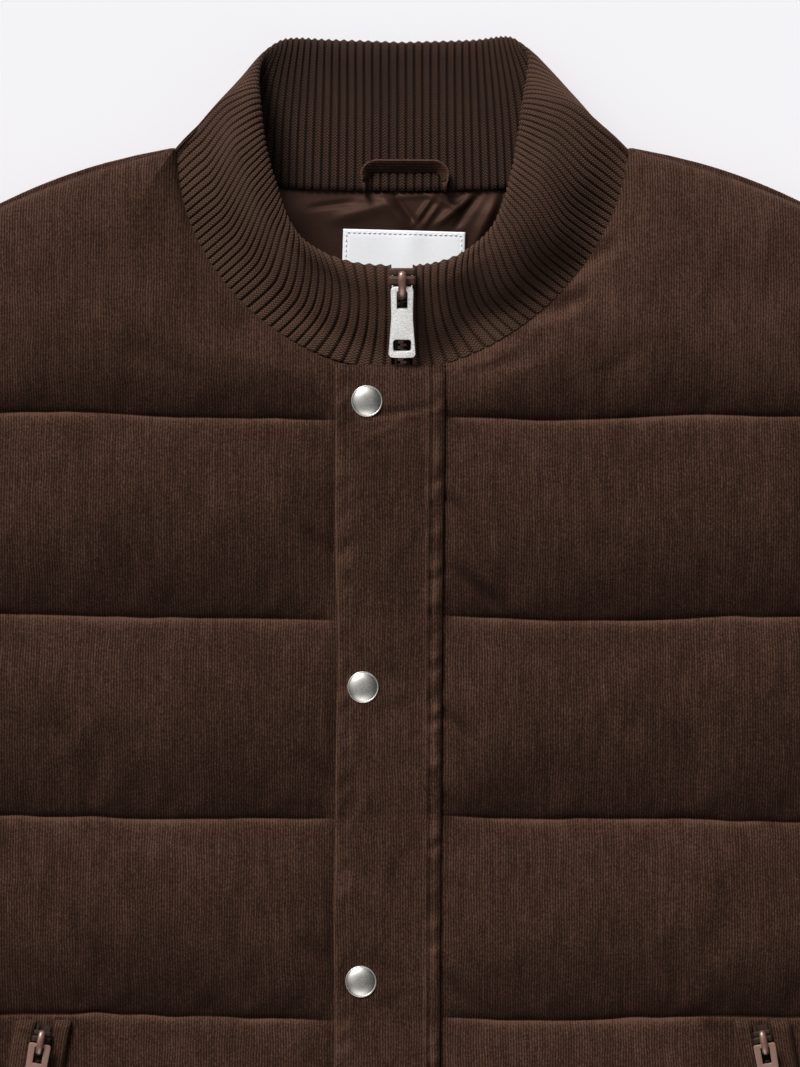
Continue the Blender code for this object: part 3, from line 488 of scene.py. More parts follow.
def channelFullness(drop):
    lines = np.array([quilting["first"] - 2 * quilting["yokeRounding"]] + quiltLines() + [bodyCut["length"]])
    k = np.clip(np.searchsorted(lines, drop, side="right") - 1, 0, len(lines) - 2)
    t = 2 * (drop - lines[k]) / (lines[k + 1] - lines[k]) - 1
    lip = 1 - np.exp(-np.minimum(drop - lines[k], lines[k + 1] - drop) / quilting["lipReach"])
    full = np.maximum(0.0, 1 - t * t) * (1 - quilting["lip"]) + quilting["lip"] * lip
    return np.where(drop < quilting["first"] - quilting["yokeRounding"], 1.0, full)


def edgeFullness(distance):
    s = np.clip(distance / quilting["edgeRounding"], 0.0, 1.0)
    return np.sqrt(s * (2 - s))


def distanceToLine(x, drop, line):
    nearest = np.full(x.shape, 1.0)
    for (ax, ad), (bx, bd) in zip(line, line[1:]):
        sx, sd = bx - ax, bd - ad
        t = np.clip(((x - ax) * sx + (drop - ad) * sd) / max(sx * sx + sd * sd, 1e-12), 0.0, 1.0)
        nearest = np.minimum(nearest, np.hypot(x - ax - sx * t, drop - ad - sd * t))
    return nearest


def seamDistance(drop):
    return np.min([np.abs(drop - line) for line in quiltLines()], axis=0)


def pocketX(drop):
    return pocketCut["x"] + pocketCut["lean"] * np.clip(drop - pocketCut["drop"], -0.005, pocketCut["run"])


def pressedShare(x, drop, side):
    reach = placketCut["right"] if side > 0 else -placketCut["left"]
    near, far = ((x - reach) / placketCut[key] for key in ("nearBlend", "blend"))
    underPlacket = 1 - 0.5 * smoothStep(near) - 0.5 * smoothStep(far)
    above = pocketCut["topBlend"] * (pocketCut["top"] + pocketCut["topGap"] - drop)
    along = np.maximum(np.maximum(above, drop - pocketCut["drop"] - pocketCut["run"]), 0.0)
    across = np.maximum(np.abs(x - pocketX(drop)) - pocketCut["half"], 0.0)
    atPocket = 1 - smoothStep(np.hypot(along, across) / pocketCut["blend"])
    return np.maximum(placketCut["press"] * underPlacket, atPocket)


def panelEdges(inner, rise, side=1):
    drops = np.linspace(bodyCut["tipDrop"], bodyCut["length"], 160)
    armhole = [(outerX(d, rise), d) for d in drops]
    neck = [inner(k / 40, side) for k in range(41)]
    return neck, armhole


def frontNeckPoint(share, side):
    power = 2 / bodyCut["frontNeckPower"][side]
    angle = math.pi / 2 * share
    return bodyCut["neckHalf"] * math.cos(angle) ** power, bodyCut["frontNeckDrop"] * math.sin(angle) ** power


def backNeckPoint(share, side):
    x = bodyCut["neckHalf"] * (1 - share)
    return x, backNeckDrop(x)


frontEdges = {side: panelEdges(frontNeckPoint, 0.0, side) for side in (1, -1)}
backEdges = panelEdges(backNeckPoint, bodyCut["backRise"])


def fullnessAt(x, drop, edges):
    # how full the channel is, and how far the edges hold the padding down
    edge = np.minimum(*(edgeFullness(distanceToLine(x, drop, line)) for line in edges))
    hem = np.where(drop > bodyCut["length"] - quilting["edgeRounding"],
                   edgeFullness(bodyCut["length"] - drop), 1.0)
    return channelFullness(drop), edge * hem


# creases: x, drop, angle up from across in degrees, half length, half width, height
creases = {
    1: ((0.0720, 0.0712, 16, 0.0140, 0.0034, -0.0024), (0.0735, 0.0780, 16, 0.0150, 0.0040, 0.0016),
        (0.0855, 0.0508, 31, 0.0170, 0.0036, -0.0022), (0.0885, 0.0566, 31, 0.0175, 0.0042, 0.0014),
        (0.0455, 0.0868, 12, 0.0090, 0.0028, -0.0012), (0.0465, 0.0920, 12, 0.0095, 0.0032, 0.0007),
        (0.0250, 0.1664, -34, 0.0065, 0.0019, -0.0013), (0.0355, 0.2055, -37, 0.0170, 0.0030, -0.0014),
        (0.0265, 0.2700, -40, 0.0095, 0.0024, -0.0014), (0.0267, 0.3956, -54, 0.0085, 0.0024, -0.0014),
        (0.0248, 0.3462, 31, 0.0040, 0.0020, -0.0009), (0.0222, 0.3080, -47, 0.0045, 0.0020, -0.0009),
        (0.0280, 0.4750, -44, 0.0110, 0.0026, -0.0012), (0.0270, 0.5630, -38, 0.0120, 0.0026, -0.0013),
        (0.0260, 0.6350, 40, 0.0080, 0.0022, -0.0010), (0.1440, 0.4120, -56, 0.0080, 0.0026, -0.0013)),
    -1: ((0.0390, 0.1830, 40, 0.0100, 0.0030, -0.0008), (0.0385, 0.2900, 48, 0.0110, 0.0030, -0.0008),
         (0.0400, 0.3760, 44, 0.0090, 0.0028, -0.0008), (0.0390, 0.4640, 50, 0.0110, 0.0030, -0.0009),
         (0.0390, 0.5560, 42, 0.0120, 0.0030, -0.0009), (0.0395, 0.6460, 46, 0.0090, 0.0028, -0.0009),
         (0.1470, 0.4105, 24, 0.0120, 0.0030, 0.0010), (0.0700, 0.0760, -14, 0.0120, 0.0050, -0.0006)),
}
# how far each quilt line strays from straight: rows of (x, drop) for each side and line
lineStrays = {
    (1, 0): ((0.020, 0.0005), (0.064, 0.0022), (0.095, 0.0016), (0.137, -0.0001), (0.186, 0.0008)),
    (1, 1): ((0.020, 0.0000), (0.073, 0.0022), (0.107, 0.0020), (0.155, 0.0003), (0.186, 0.0004)),
    (1, 2): ((0.019, -0.0008), (0.038, 0.0005), (0.099, 0.0011), (0.119, 0.0005), (0.186, 0.0028)),
    (1, 3): ((0.019, -0.0003), (0.045, 0.0013), (0.095, 0.0009), (0.113, -0.0003), (0.186, 0.0000)),
    (1, 4): ((0.019, 0.0005), (0.060, -0.0009), (0.120, 0.0012), (0.186, 0.0002)),
    (1, 5): ((0.019, -0.0004), (0.070, 0.0012), (0.130, 0.0003), (0.186, 0.0010)),
    (-1, 0): ((0.032, 0.0020), (0.105, 0.0012), (0.126, 0.0000), (0.159, -0.0016), (0.189, -0.0028)),
    (-1, 1): ((0.032, 0.0018), (0.105, 0.0009), (0.129, 0.0004), (0.153, -0.0005), (0.189, -0.0015)),
    (-1, 2): ((0.033, 0.0009), (0.131, 0.0007), (0.147, -0.0001), (0.189, -0.0005)),
    (-1, 3): ((0.034, 0.0010), (0.107, -0.0006), (0.143, -0.0021), (0.189, -0.0010)),
    (-1, 4): ((0.034, 0.0003), (0.090, 0.0011), (0.140, -0.0006), (0.189, 0.0004)),
    (-1, 5): ((0.034, -0.0005), (0.080, 0.0006), (0.150, 0.0012), (0.189, -0.0003)),
}


def creaseSum(table, x, drop):
    total = np.zeros(np.shape(x))
    for cx, cd, angle, length, width, height in table:
        c, s = math.cos(math.radians(angle)), math.sin(math.radians(angle))
        along = (x - cx) * c - (drop - cd) * s
        across = (x - cx) * s + (drop - cd) * c
        total = total + height * np.exp(-(along / length) ** 4 - (across / width) ** 2)
    return total


def frontHeight(x, drop, side, share=1.0):
    full, edge = fullnessAt(x, drop, frontEdges[side])
    pressed = pressedShare(x, drop, side)
    padding = (full * (1 - pressed) + quilting["pressed"] * pressed) * edge
    return bodyCut["frontInside"] + quilting["edge"] + quilting["pad"] * share * padding


def fineHeight(x, drop, side):
    # soft swells, small gathers along the quilt lines, and the creases
    full, edge = fullnessAt(x, drop, frontEdges[side])
    free = (1 - pressedShare(x, drop, side)) * edge
    seed = 3 if side > 0 else 8
    swell = softNoise(x / 0.052, drop / 0.075, seed) + 0.5 * softNoise(x / 0.021, drop / 0.055, seed + 1)
    line = np.round((drop - quilting["first"]) / quilting["pitch"])
    above = np.where(drop < quilting["first"] + line * quilting["pitch"], 40.0, 0.0)
    gather = softNoise(x / 0.0090, line * 3.1 + above, seed + 2)
    gather = gather + 0.6 * softNoise(x / 0.0045, line * 5.3 + above, seed + 3)
    near = np.exp(-seamDistance(drop) / quilting["puckerReach"]) * np.minimum(full * 4, 1.0)
    height = quilting["undulation"] * swell * full * free + quilting["pucker"] * gather * near * free
    return height + quilting["creased"] * creaseSum(creases[side], x, drop) * edge * np.minimum(full * 3, 1.0)


# strength and reach of the painted highlight below a quilt line and on it, and of the painted shade above it;
# the yoke's painted lightening and the rest's darkening; painted highlight and shade along a crease
linePaintedLight = {"below": (0.33, 0.0030), "on": (0.28, 0.0014), "above": (0.22, 0.0050), "start": 0.0006,
           "yoke": {1: 0.145, -1: 0.110}, "rest": -0.045, "crease": 150}


def paintedLightOnLines(x, drop, side):
    # painted highlight under each quilt line and painted shade above it, where the padding is free
    paintedLight = np.zeros(x.shape)
    for k, line in enumerate(quiltLines()):
        below = drop - line
        uneven = (0.8 + 0.35 * softNoise(x / 0.016, k * 2.0 + side, 25)
                  + 0.2 * softNoise(x / 0.004, k * 2.0 + side, 26))
        strength, reach = linePaintedLight["below"]
        paintedLight += (strength * uneven * np.exp(-(np.maximum(below - linePaintedLight["start"], 0.0) / reach) ** 1.3)
                * (below > 0))
        strength, reach = linePaintedLight["on"]
        paintedLight += strength * uneven * bell(below, reach) * (below > 0)
        strength, reach = linePaintedLight["above"]
        paintedLight -= strength * np.exp(-(np.abs(below) / reach)) * (below <= 0)
    # the yoke painted lighter, by side, and the rest of the front a little darker
    yoke = linePaintedLight["yoke"][side] * smoothStep((quilting["first"] - 0.004 - drop) / 0.02) + linePaintedLight["rest"]
    # painted highlight on crease ridges and painted shade in their troughs
    shine = linePaintedLight["crease"] * creaseSum(creases[side], x, drop)
    return paintedLight * (1 - pressedShare(x, drop, side)) + yoke + shine


# stores painted light and shade on the first points of a piece
def paintLightAndShade(piece, values):
    paintedLight = piece.data.attributes.new("paintedLight", "FLOAT", "POINT")
    spread = np.zeros(len(piece.data.vertices), dtype=np.float32)
    spread[:len(values)] = values
    paintedLight.data.foreach_set("value", spread)


def lineWave(x, drop, side):
    lines = quiltLines()
    wave = np.zeros(x.shape)
    for k, line in enumerate(lines):
        table = np.array(lineStrays[side, k])
        stray = np.interp(x, table[:, 0], table[:, 1]) + 0.0004 * softNoise(x / 0.012, k * 3.0 + side, 22)
        wave += stray * np.maximum(0.0, 1 - np.abs(drop - line) / quilting["pitch"])
    outer = np.array([outerX(d) for d in drop[:, 0]])[:, None]
    return wave * np.clip(drop / 0.10, 0, 1) * np.clip((outer - x) / 0.04, 0.0, 1.0)


def cubicRows(values, at):
    # values at whole row numbers, read at fractional ones by a cubic through four rows
    i = np.clip(np.floor(at).astype(int), 0, len(values) - 2)
    t = (at - i).reshape((-1,) + (1,) * (values.ndim - 1))
    rows = [values[np.clip(i + k, 0, len(values) - 1)] for k in (-1, 0, 1, 2)]
    return cubic(t, rows[1], rows[2], (rows[2] - rows[0]) / 2, (rows[3] - rows[1]) / 2)


def swellPad(name, rest, held):
    # the cloth simulation: air pressure under slack cloth that is held at its seams
    rows, columns = rest.shape[:2]
    piece = newPiece(name, rest.reshape(-1, 3), gridFaces(rows, columns))
    turnUp(piece)
    group = piece.vertex_groups.new(name="held")
    for index, weight in enumerate(held.ravel()):
        if weight > 0:
            group.add([index], float(weight), "REPLACE")
    cloth = piece.modifiers.new("cloth", "CLOTH")
    settings = cloth.settings
    settings.quality = 6
    settings.mass = 0.2
    settings.tension_stiffness = settings.compression_stiffness = 12.0
    settings.shear_stiffness = 6.0
    settings.bending_stiffness = 4.0
    settings.vertex_group_mass = group.name
    settings.use_pressure = True
    settings.uniform_pressure_force = quilting["pressure"]
    settings.shrink_min = quilting["slack"]
    settings.effector_weights.gravity = 0.0
    cloth.collision_settings.use_collision = False
    cloth.point_cache.frame_start, cloth.point_cache.frame_end = 1, quilting["frames"]
    for number in range(1, quilting["frames"] + 1):
        scene.frame_set(number)
    swollen = piece.evaluated_get(bpy.context.evaluated_depsgraph_get()).to_mesh()
    end = np.empty(rows * columns * 3)
    swollen.vertices.foreach_get("co", end)
    move = end.reshape(rest.shape) - rest
    bpy.data.objects.remove(piece, do_unlink=True)
    scene.frame_set(1)
    size = np.linalg.norm(move, axis=-1, keepdims=True)
    print(name, "moved up to %.1f mm, on average %.1f mm" % (1000 * size.max(), 1000 * size.mean()))
    return move * np.minimum(1.0, quilting["cap"] / np.maximum(size, 1e-9))


def turnUp(piece):
    if piece.data.polygons[len(piece.data.polygons) // 2].normal.z < 0:
        piece.data.flip_normals()


def closedPanel(name, verts, faces, rim, insideZ):
    # an outer skin, a rounded edge wall from its rim and a flat inside
    loop = verts[rim]
    ahead, behind = np.roll(loop, -1, axis=0), np.roll(loop, 1, axis=0)
    along = ahead[:, :2] - behind[:, :2]
    along /= np.maximum(np.linalg.norm(along, axis=1, keepdims=True), 1e-9)
    area = np.sum(loop[:, 0] * ahead[:, 1] - ahead[:, 0] * loop[:, 1])
    out = np.stack([along[:, 1], -along[:, 0]], axis=1) * (1 if area > 0 else -1)
    rings, previous, count = [verts], rim, len(verts)
    for share, push in ((0.35, 0.85), (0.72, 0.9), (1.0, 0.2)):
        ring = loop.copy()
        ring[:, :2] += out * quilting["roundOut"] * push
        ring[:, 2] += (insideZ - ring[:, 2]) * share
        rings.append(ring)
        current = list(range(count, count + len(rim)))
        count += len(rim)
        for k in range(len(rim)):
            after = (k + 1) % len(rim)
            faces.append((previous[k], previous[after], current[after], current[k]))
        previous = current
    faces.append(tuple(previous))
    return closedPiece(name, np.concatenate(rings), faces)


seamSteps = (0.0, 0.0004, 0.0010, 0.0018, 0.0030, 0.0046, 0.0066)


def frontColumns(drop, shares, side):
    inner = neckX(drop, bodyCut["frontNeckDrop"], bodyCut["frontNeckPower"][side], bodyCut["zipEdge"])
    return inner + (outerX(drop) - inner) * shares


def frontGrid(drops, shares, side):
    x = np.array([frontColumns(d, shares, side) for d in drops])
    return x, np.repeat(drops[:, None], len(shares), axis=1)


def makeFront(name, node, side):
    # swell a coarse grid, then carry its movement over to a fine one
    fine = panelDrops(bodyCut["tipDrop"], seamSteps, 0.0027)
    shares = np.concatenate([np.linspace(0, 0.06, 5), np.linspace(0.07, 0.965, 96),
                             (0.975, 0.984, 0.991, 0.996, 1.0)])
    coarse = panelDrops(bodyCut["tipDrop"], (0.0, 0.0046), 0.0047)
    coarseShares = np.linspace(0, 1, 57)
    x, drop = frontGrid(coarse, coarseShares, side)
    rest = np.stack([side * x, shoulderY - drop, frontHeight(x, drop, side, quilting["start"])], axis=-1)
    held = np.clip((pressedShare(x, drop, side) - 0.25) / 0.3, 0, 1)
    held = np.maximum(held, 1 - smoothStep((drop - 0.05) / 0.03))
    held[np.min([np.abs(coarse - line) for line in quiltLines()], axis=0) < 0.0002] = 1.0
    held[[0, -1]] = 1.0
    held[:, [0, -1]] = 1.0
    move = swellPad(name + "Start", rest, held)
    move = cubicRows(move, np.interp(fine, coarse, np.arange(len(coarse))))
    move = cubicRows(np.swapaxes(move, 0, 1), shares * (len(coarseShares) - 1)).swapaxes(0, 1)
    x, drop = frontGrid(fine, shares, side)
    height = frontHeight(x, drop, side, quilting["start"]) + fineHeight(x, drop, side)
    verts = np.stack([side * x, shoulderY - drop - lineWave(x, drop, side), height], axis=-1) + move
    faces, rim = gridFaces(*x.shape), rimIndex(*x.shape)
    piece = closedPanel(name, verts.reshape(-1, 3), faces, rim, bodyCut["frontInside"])
    paintLightAndShade(piece, paintedLightOnLines(x, drop, side).ravel())
    dress(piece, "corduroy", cordMaterial, node)


makeFront("frontLeftPadded", "front_left", 1)
makeFront("frontRightPadded", "front_right", -1)
print("fronts quilted")


def makeBack():
    power = bodyCut["backNeckPower"]
    neckShares = (0.995, 0.97, 0.94, 0.90, 0.85, 0.78, 0.70, 0.60, 0.48, 0.34, 0.18)
    neckDrops = [backNeckDrop(bodyCut["neckHalf"] * share) for share in neckShares]
    lower = panelDrops(bodyCut["tipDrop"], (0.0, 0.001, 0.003, 0.006), 0.005)
    lower = [d for d in lower if d > bodyCut["backNeckDrop"] + 0.002]
    drops = np.array([bodyCut["tipDrop"]] + neckDrops + [bodyCut["backNeckDrop"]] + lower)
    split = len(neckDrops) + 1
    shares = np.concatenate([np.linspace(0, 0.955, 46), (0.967, 0.978, 0.987, 0.994, 1.0)])
    x = []
    for d in drops:
        inner = neckX(d, bodyCut["backNeckDrop"], power, 0.0)
        x.append(inner + (outerX(d, bodyCut["backRise"]) - inner) * shares)
    x = np.array(x)
    drop = np.repeat(drops[:, None], x.shape[1], axis=1)
    full, edge = fullnessAt(x, drop, backEdges)
    swell = softNoise(x / 0.05, drop / 0.07, 31) * quilting["undulation"]
    depth = quilting["edge"] + (quilting["pad"] + swell) * full * edge
    z = np.maximum(bodyCut["backInside"] - depth, 0.0)
    rows, columns = x.shape
    index, verts = {}, []
    for i in range(rows):
        for half in (1, -1):
            for j in range(columns):
                if half < 0 and j == 0 and i >= split:
                    index[half, i, j] = index[1, i, j]
                    continue
                index[half, i, j] = len(verts)
                verts.append((half * x[i, j], shoulderY - drop[i, j], z[i, j]))
    faces = []
    for half in (1, -1):
        for i in range(rows - 1):
            for j in range(columns - 1):
                quad = (i, j), (i, j + 1), (i + 1, j + 1), (i + 1, j)
                faces.append(tuple(index[half, a, b] for a, b in quad))
    last, end = columns - 1, rows - 1
    corners = ((1, 0, 0), (1, 0, last), (1, end, last), (1, end, 0), (-1, end, 0), (-1, end, last),
               (-1, 0, last), (-1, 0, 0), (-1, split, 0), (1, split, 0), (1, 0, 0))
    rim = []
    for (half, i, j), (_, ni, nj) in zip(corners, corners[1:]):
        for k in range(max(abs(ni - i), abs(nj - j))):
            rim.append(index[half, i + k * int(np.sign(ni - i)), j + k * int(np.sign(nj - j))])
    piece = closedPanel("backPadded", np.array(verts), faces, rim, bodyCut["backInside"])
    dress(piece, "corduroy", cordMaterial, "back")


makeBack()
print("back quilted")


# placket

def flatHeight(x, drop):
    # plain top of whichever front lies under a place, smoothed over the zip
    left, right = (frontHeight(np.maximum(np.abs(x), bodyCut["zipEdge"]), drop, side) for side in (1, -1))
    return np.where(x > 0, left, right)


# lines of sewing along the placket: x, depth, half width, painted highlight beside it
placketLines = ((-0.0254, -0.0007, 0.0009, 0.16), (-0.0290, -0.0003, 0.0008, 0.08),
                (0.0118, 0.0004, 0.0010, 0.16), (0.0136, -0.0013, 0.0011, 0.05),
                (0.0160, 0.0003, 0.0010, 0.10))
placketCreases = (
    (0.0020, 0.1232, 8, 0.0140, 0.0013, -0.0014), (0.0000, 0.1258, 12, 0.0155, 0.0013, 0.0016),
    (-0.009, 0.1325, 24, 0.010, 0.0016, 0.0010), (-0.004, 0.262, 20, 0.012, 0.003, -0.0006),
    (-0.006, 0.246, -22, 0.012, 0.003, -0.0006), (-0.004, 0.400, 22, 0.012, 0.003, -0.0006),
    (-0.006, 0.384, -24, 0.012, 0.003, -0.0005), (-0.005, 0.536, 20, 0.012, 0.003, -0.0006),
    (-0.005, 0.521, -20, 0.012, 0.003, -0.0005), (-0.005, 0.655, -24, 0.012, 0.003, -0.0006),
    (-0.020, 0.310, 62, 0.012, 0.003, 0.0005), (0.004, 0.330, 48, 0.014, 0.004, -0.0005),
    (-0.015, 0.350, -58, 0.010, 0.003, 0.0005), (0.002, 0.190, 52, 0.014, 0.004, -0.0004),
)


# how far each edge strays from straight: drops, strays
placketStrays = {"left": ((0.104, 0.23, 0.43, 0.69), (-0.0004, 0.0008, -0.0008, -0.0004)),
                 "right": ((0.104, 0.24, 0.43, 0.69), (0.0015, -0.0002, -0.0012, -0.0010))}


def placketPuckers(x, drop):
    # small slanting gathers along both sewn edges
    left = bell(x - placketCut["left"] - 0.0045, 0.0040)
    right = bell(x - placketCut["right"] + 0.0030, 0.0034)
    return (left * softNoise((drop + 0.7 * x) / 0.0058, x / 0.020, 47)
            + right * softNoise((drop + 0.3 * x) / 0.0042, x / 0.016, 48))


def placketTop(x, drop):
    height = flatHeight(x, drop) + placketCut["lift"] + placketCut["thick"]
    height = (height + 0.0005 * softNoise(drop / 0.046, x / 0.05, 41)
              + 0.00025 * softNoise(drop / 0.012, x / 0.02, 42))
    for sx, sd in zip(snapCut["x"], snapCut["drops"]):
        height = height - 0.0007 * bell(np.hypot(x - sx, drop - sd), 0.012)
    for at, depth, width, _ in placketLines:
        height = height + depth * bell(x - at, width) * (1 + 0.5 * softNoise(drop / 0.0035, at * 900, 43))
    height = height - 0.0005 * bell(drop - placketCut["topDrop"] - placketCut["topSewing"], 0.0010)
    height = height + 0.0008 * placketPuckers(x, drop)
    return height + creaseSum(placketCreases, x, drop)


def placketPaintedLight(x, drop):
    # painted highlight on the left edge and painted shade on the right one, painted highlight beside each
    # sewn line, along the top edge and on the puckers, and painted highlight and shade on the creases
    paintedLight = 0.30 * bell(x - placketCut["left"], 0.0010) - 0.10 * bell(x - placketCut["right"], 0.0012)
    for at, _, width, shine in placketLines:
        paintedLight = paintedLight + shine * bell(x - at + 0.0006, width) * (1 + 0.6 * softNoise(drop / 0.004, at * 700, 46))
    paintedLight = paintedLight + 0.20 * bell(drop - placketCut["topDrop"], 0.0010)
    return paintedLight + 0.26 * placketPuckers(x, drop) + 170 * creaseSum(placketCreases, x, drop)


def makePlacket():
    drops = np.arange(placketCut["topDrop"], bodyCut["length"] - placketCut["hemGap"], 0.0018)
    across = np.concatenate([[0.0, 0.0003, 0.0007, 0.0013, 0.0020], np.linspace(0.0027, 0.0480, 68),
                             [0.0488, 0.0495, 0.0500, 0.0503, 0.0505]])
    x = np.repeat((placketCut["left"] + across)[None, :], len(drops), axis=0)
    drop = np.repeat(drops[:, None], x.shape[1], axis=1)
    top = placketTop(x, drop)
    fromEdge = np.minimum(np.minimum(x - placketCut["left"], placketCut["right"] - x),
                          drop - placketCut["topDrop"])
    share = np.clip(fromEdge / placketCut["roll"], 0, 1)
    base = top - placketCut["thick"]
    top = top - placketCut["roll"] * (1 - np.sqrt(share * (2 - share)))
    leftStray = 0.0006 * softNoise(drop / 0.06, 0.0, 44) + np.interp(drop, *placketStrays["left"])
    rightStray = np.interp(drop, *placketStrays["right"])
    xs = (x + leftStray * np.clip(x / placketCut["left"], 0, 1)
          + rightStray * np.clip(x / placketCut["right"], 0, 1))
    piece = layeredSheet("placketStrip", xs, drop, base, top)
    paintedLight = placketPaintedLight(x, drop).ravel()
    paintLightAndShade(piece, np.concatenate([paintedLight, paintedLight]))
    dress(piece, "corduroy", cordMaterial, "placket")


makePlacket()


# rings of one stitch: share of its length, size, lift
beadRings = ((0.0, 0.35, -0.3), (0.2, 0.95, 0.25), (0.5, 1.0, 0.45), (0.8, 0.95, 0.25), (1.0, 0.35, -0.3))


def stitchRow(name, points, length, gap, width, slot, material):
    # short raised stitches along a line of points, each a small six-sided bead in one joined mesh
    line = [Vector(p) for p in points]
    lengths = pathLengths(line)
    verts, faces = [], []

    def at(distance):
        i, t = onPath(lengths, distance)
        return line[i].lerp(line[i + 1], t)

    start = gap
    while start + length < lengths[-1]:
        a, b = at(start), at(start + length)
        side = (b - a).normalized().cross(Vector((0, 0, 1))).normalized()
        faces += tubeFaces(len(beadRings), 6, len(verts))
        for share, size, lift in beadRings:
            centre = a.lerp(b, share) + Vector((0, 0, lift * width))
            for k in range(6):
                angle = k * math.pi / 3
                verts.append(centre + side * math.cos(angle) * size * width / 2
                             + Vector((0, 0, math.sin(angle) * size * width / 2)))
        start += length + gap
    piece = closedPiece(name, verts, faces)
    dress(piece, slot, material)


def onPlacket(x, drop):
    height = float(placketTop(np.array([x]), np.array([drop]))[0])
    return (x, shoulderY - drop, height)


placketThread = {"length": 0.0022, "gap": 0.0009, "width": 0.00038, "slot": "corduroy",
                 "material": threadMaterial}
stitchX = placketLines[0][0]
stitchTop = placketCut["topDrop"] + placketCut["topSewing"]
rows = [onPlacket(stitchX, d) for d in np.arange(stitchTop, bodyCut["length"] - 0.004, 0.004)]
stitchRow("placketStitching", rows, **placketThread)
topRow = [onPlacket(x, stitchTop) for x in np.arange(stitchX, placketLines[3][0], 0.003)]
stitchRow("placketTopStitching", topRow, **placketThread)
print("placket laid")


# hard pieces are modelled in their own place and then set down

def setDown(piece, matrix):
    piece.data.transform(matrix)
    piece.data.update()


def openEdit(piece, test=None):
    # edit a piece with the faces that pass a test picked, or all of them
    bpy.ops.object.select_all(action="DESELECT")
    piece.select_set(True)
    bpy.context.view_layer.objects.active = piece
    bpy.ops.object.mode_set(mode="EDIT")
    bpy.ops.mesh.select_mode(type="FACE")
    bpy.ops.mesh.select_all(action="DESELECT" if test else "SELECT")
    if test:
        for face in bmesh.from_edit_mesh(piece.data).faces:
            face.select = test(face)
        bmesh.update_edit_mesh(piece.data)


def closeEdit():
    bpy.ops.object.mode_set(mode="OBJECT")
    bpy.ops.object.shade_smooth_by_angle(angle=math.radians(40))
    bpy.ops.object.select_all(action="DESELECT")


def bevelled(piece, width, segments=3):
    bpy.context.view_layer.objects.active = piece
    soft = piece.modifiers.new("softEdges", "BEVEL")
    soft.width = width
    soft.segments = segments
    soft.limit_method = "ANGLE"
    soft.angle_limit = math.radians(35)
    bpy.ops.object.modifier_apply(modifier=soft.name)


def modelSnap(name):
    # a cap with a thin rolled rim and a low dome
    r = snapCut["radius"]
    bpy.ops.mesh.primitive_cylinder_add(vertices=56, radius=r, depth=0.0012, location=(0, 0, 0.0006))
    cap = bpy.context.object
    cap.name = name
    openEdit(cap, lambda face: face.normal.z > 0.9)
    for step, rise in ((0.00012, 0.00025), (0.0002, 0.00015), (0.0003, 0.0), (0.0002, -0.00012),
                       (0.0003, 0.00022), (0.0009, 0.00045), (0.0012, 0.0004), (0.0014, 0.00025),
                       (0.0014, 0.00012)):
        bpy.ops.mesh.inset(thickness=step)
        bpy.ops.transform.translate(value=(0, 0, rise))
    bpy.ops.mesh.poke()
    closeEdit()
    return cap


for number, (sx, sd) in enumerate(zip(snapCut["x"], snapCut["drops"]), 1):
    snap = modelSnap("snapCap%d" % number)
    setDown(snap, Matrix.Translation((sx, shoulderY - sd, onPlacket(sx, sd)[2] - 0.0001)))
    dress(snap, "snap_nickel", nickelMaterial, "snap_%d" % number)
    snap.location = (0, 0, 0)
print("snaps set")


# collar

collarCut = {
    "ribs": 66, "wall": 0.0062, "footWall": 0.6, "seam": -0.0008,
    "backZ": 0.0072, "sideZ": 0.0150, "frontZ": 0.0164, "endX": 0.0050,
    "sideRise": (0.17, 0.36), "frontRise": (0.34, 0.56), "swayRange": (0.34, 0.72), "tuck": 0.0030,
    "softening": 14, "cornerOut": (0.0030, 0.0020), "cornerSpread": 6.0,
    "seamPoints": 120, "columnsPerRib": 8, "ribOut": 0.00080, "foldRib": 0.00042, "ripple": 0.0009,
    "stitch": 0.00140, "roll": 0.65, "foldFrom": 0.87,
    "backFoot": 0.55, "thinAt": 0.375, "thinSpread": 0.065, "underTurn": (0.36, 0.10, 0.92),
    "backCorner": (0.30, 0.05, 0.45), "crownPower": {1: 1.36, -1: 2.4},
}
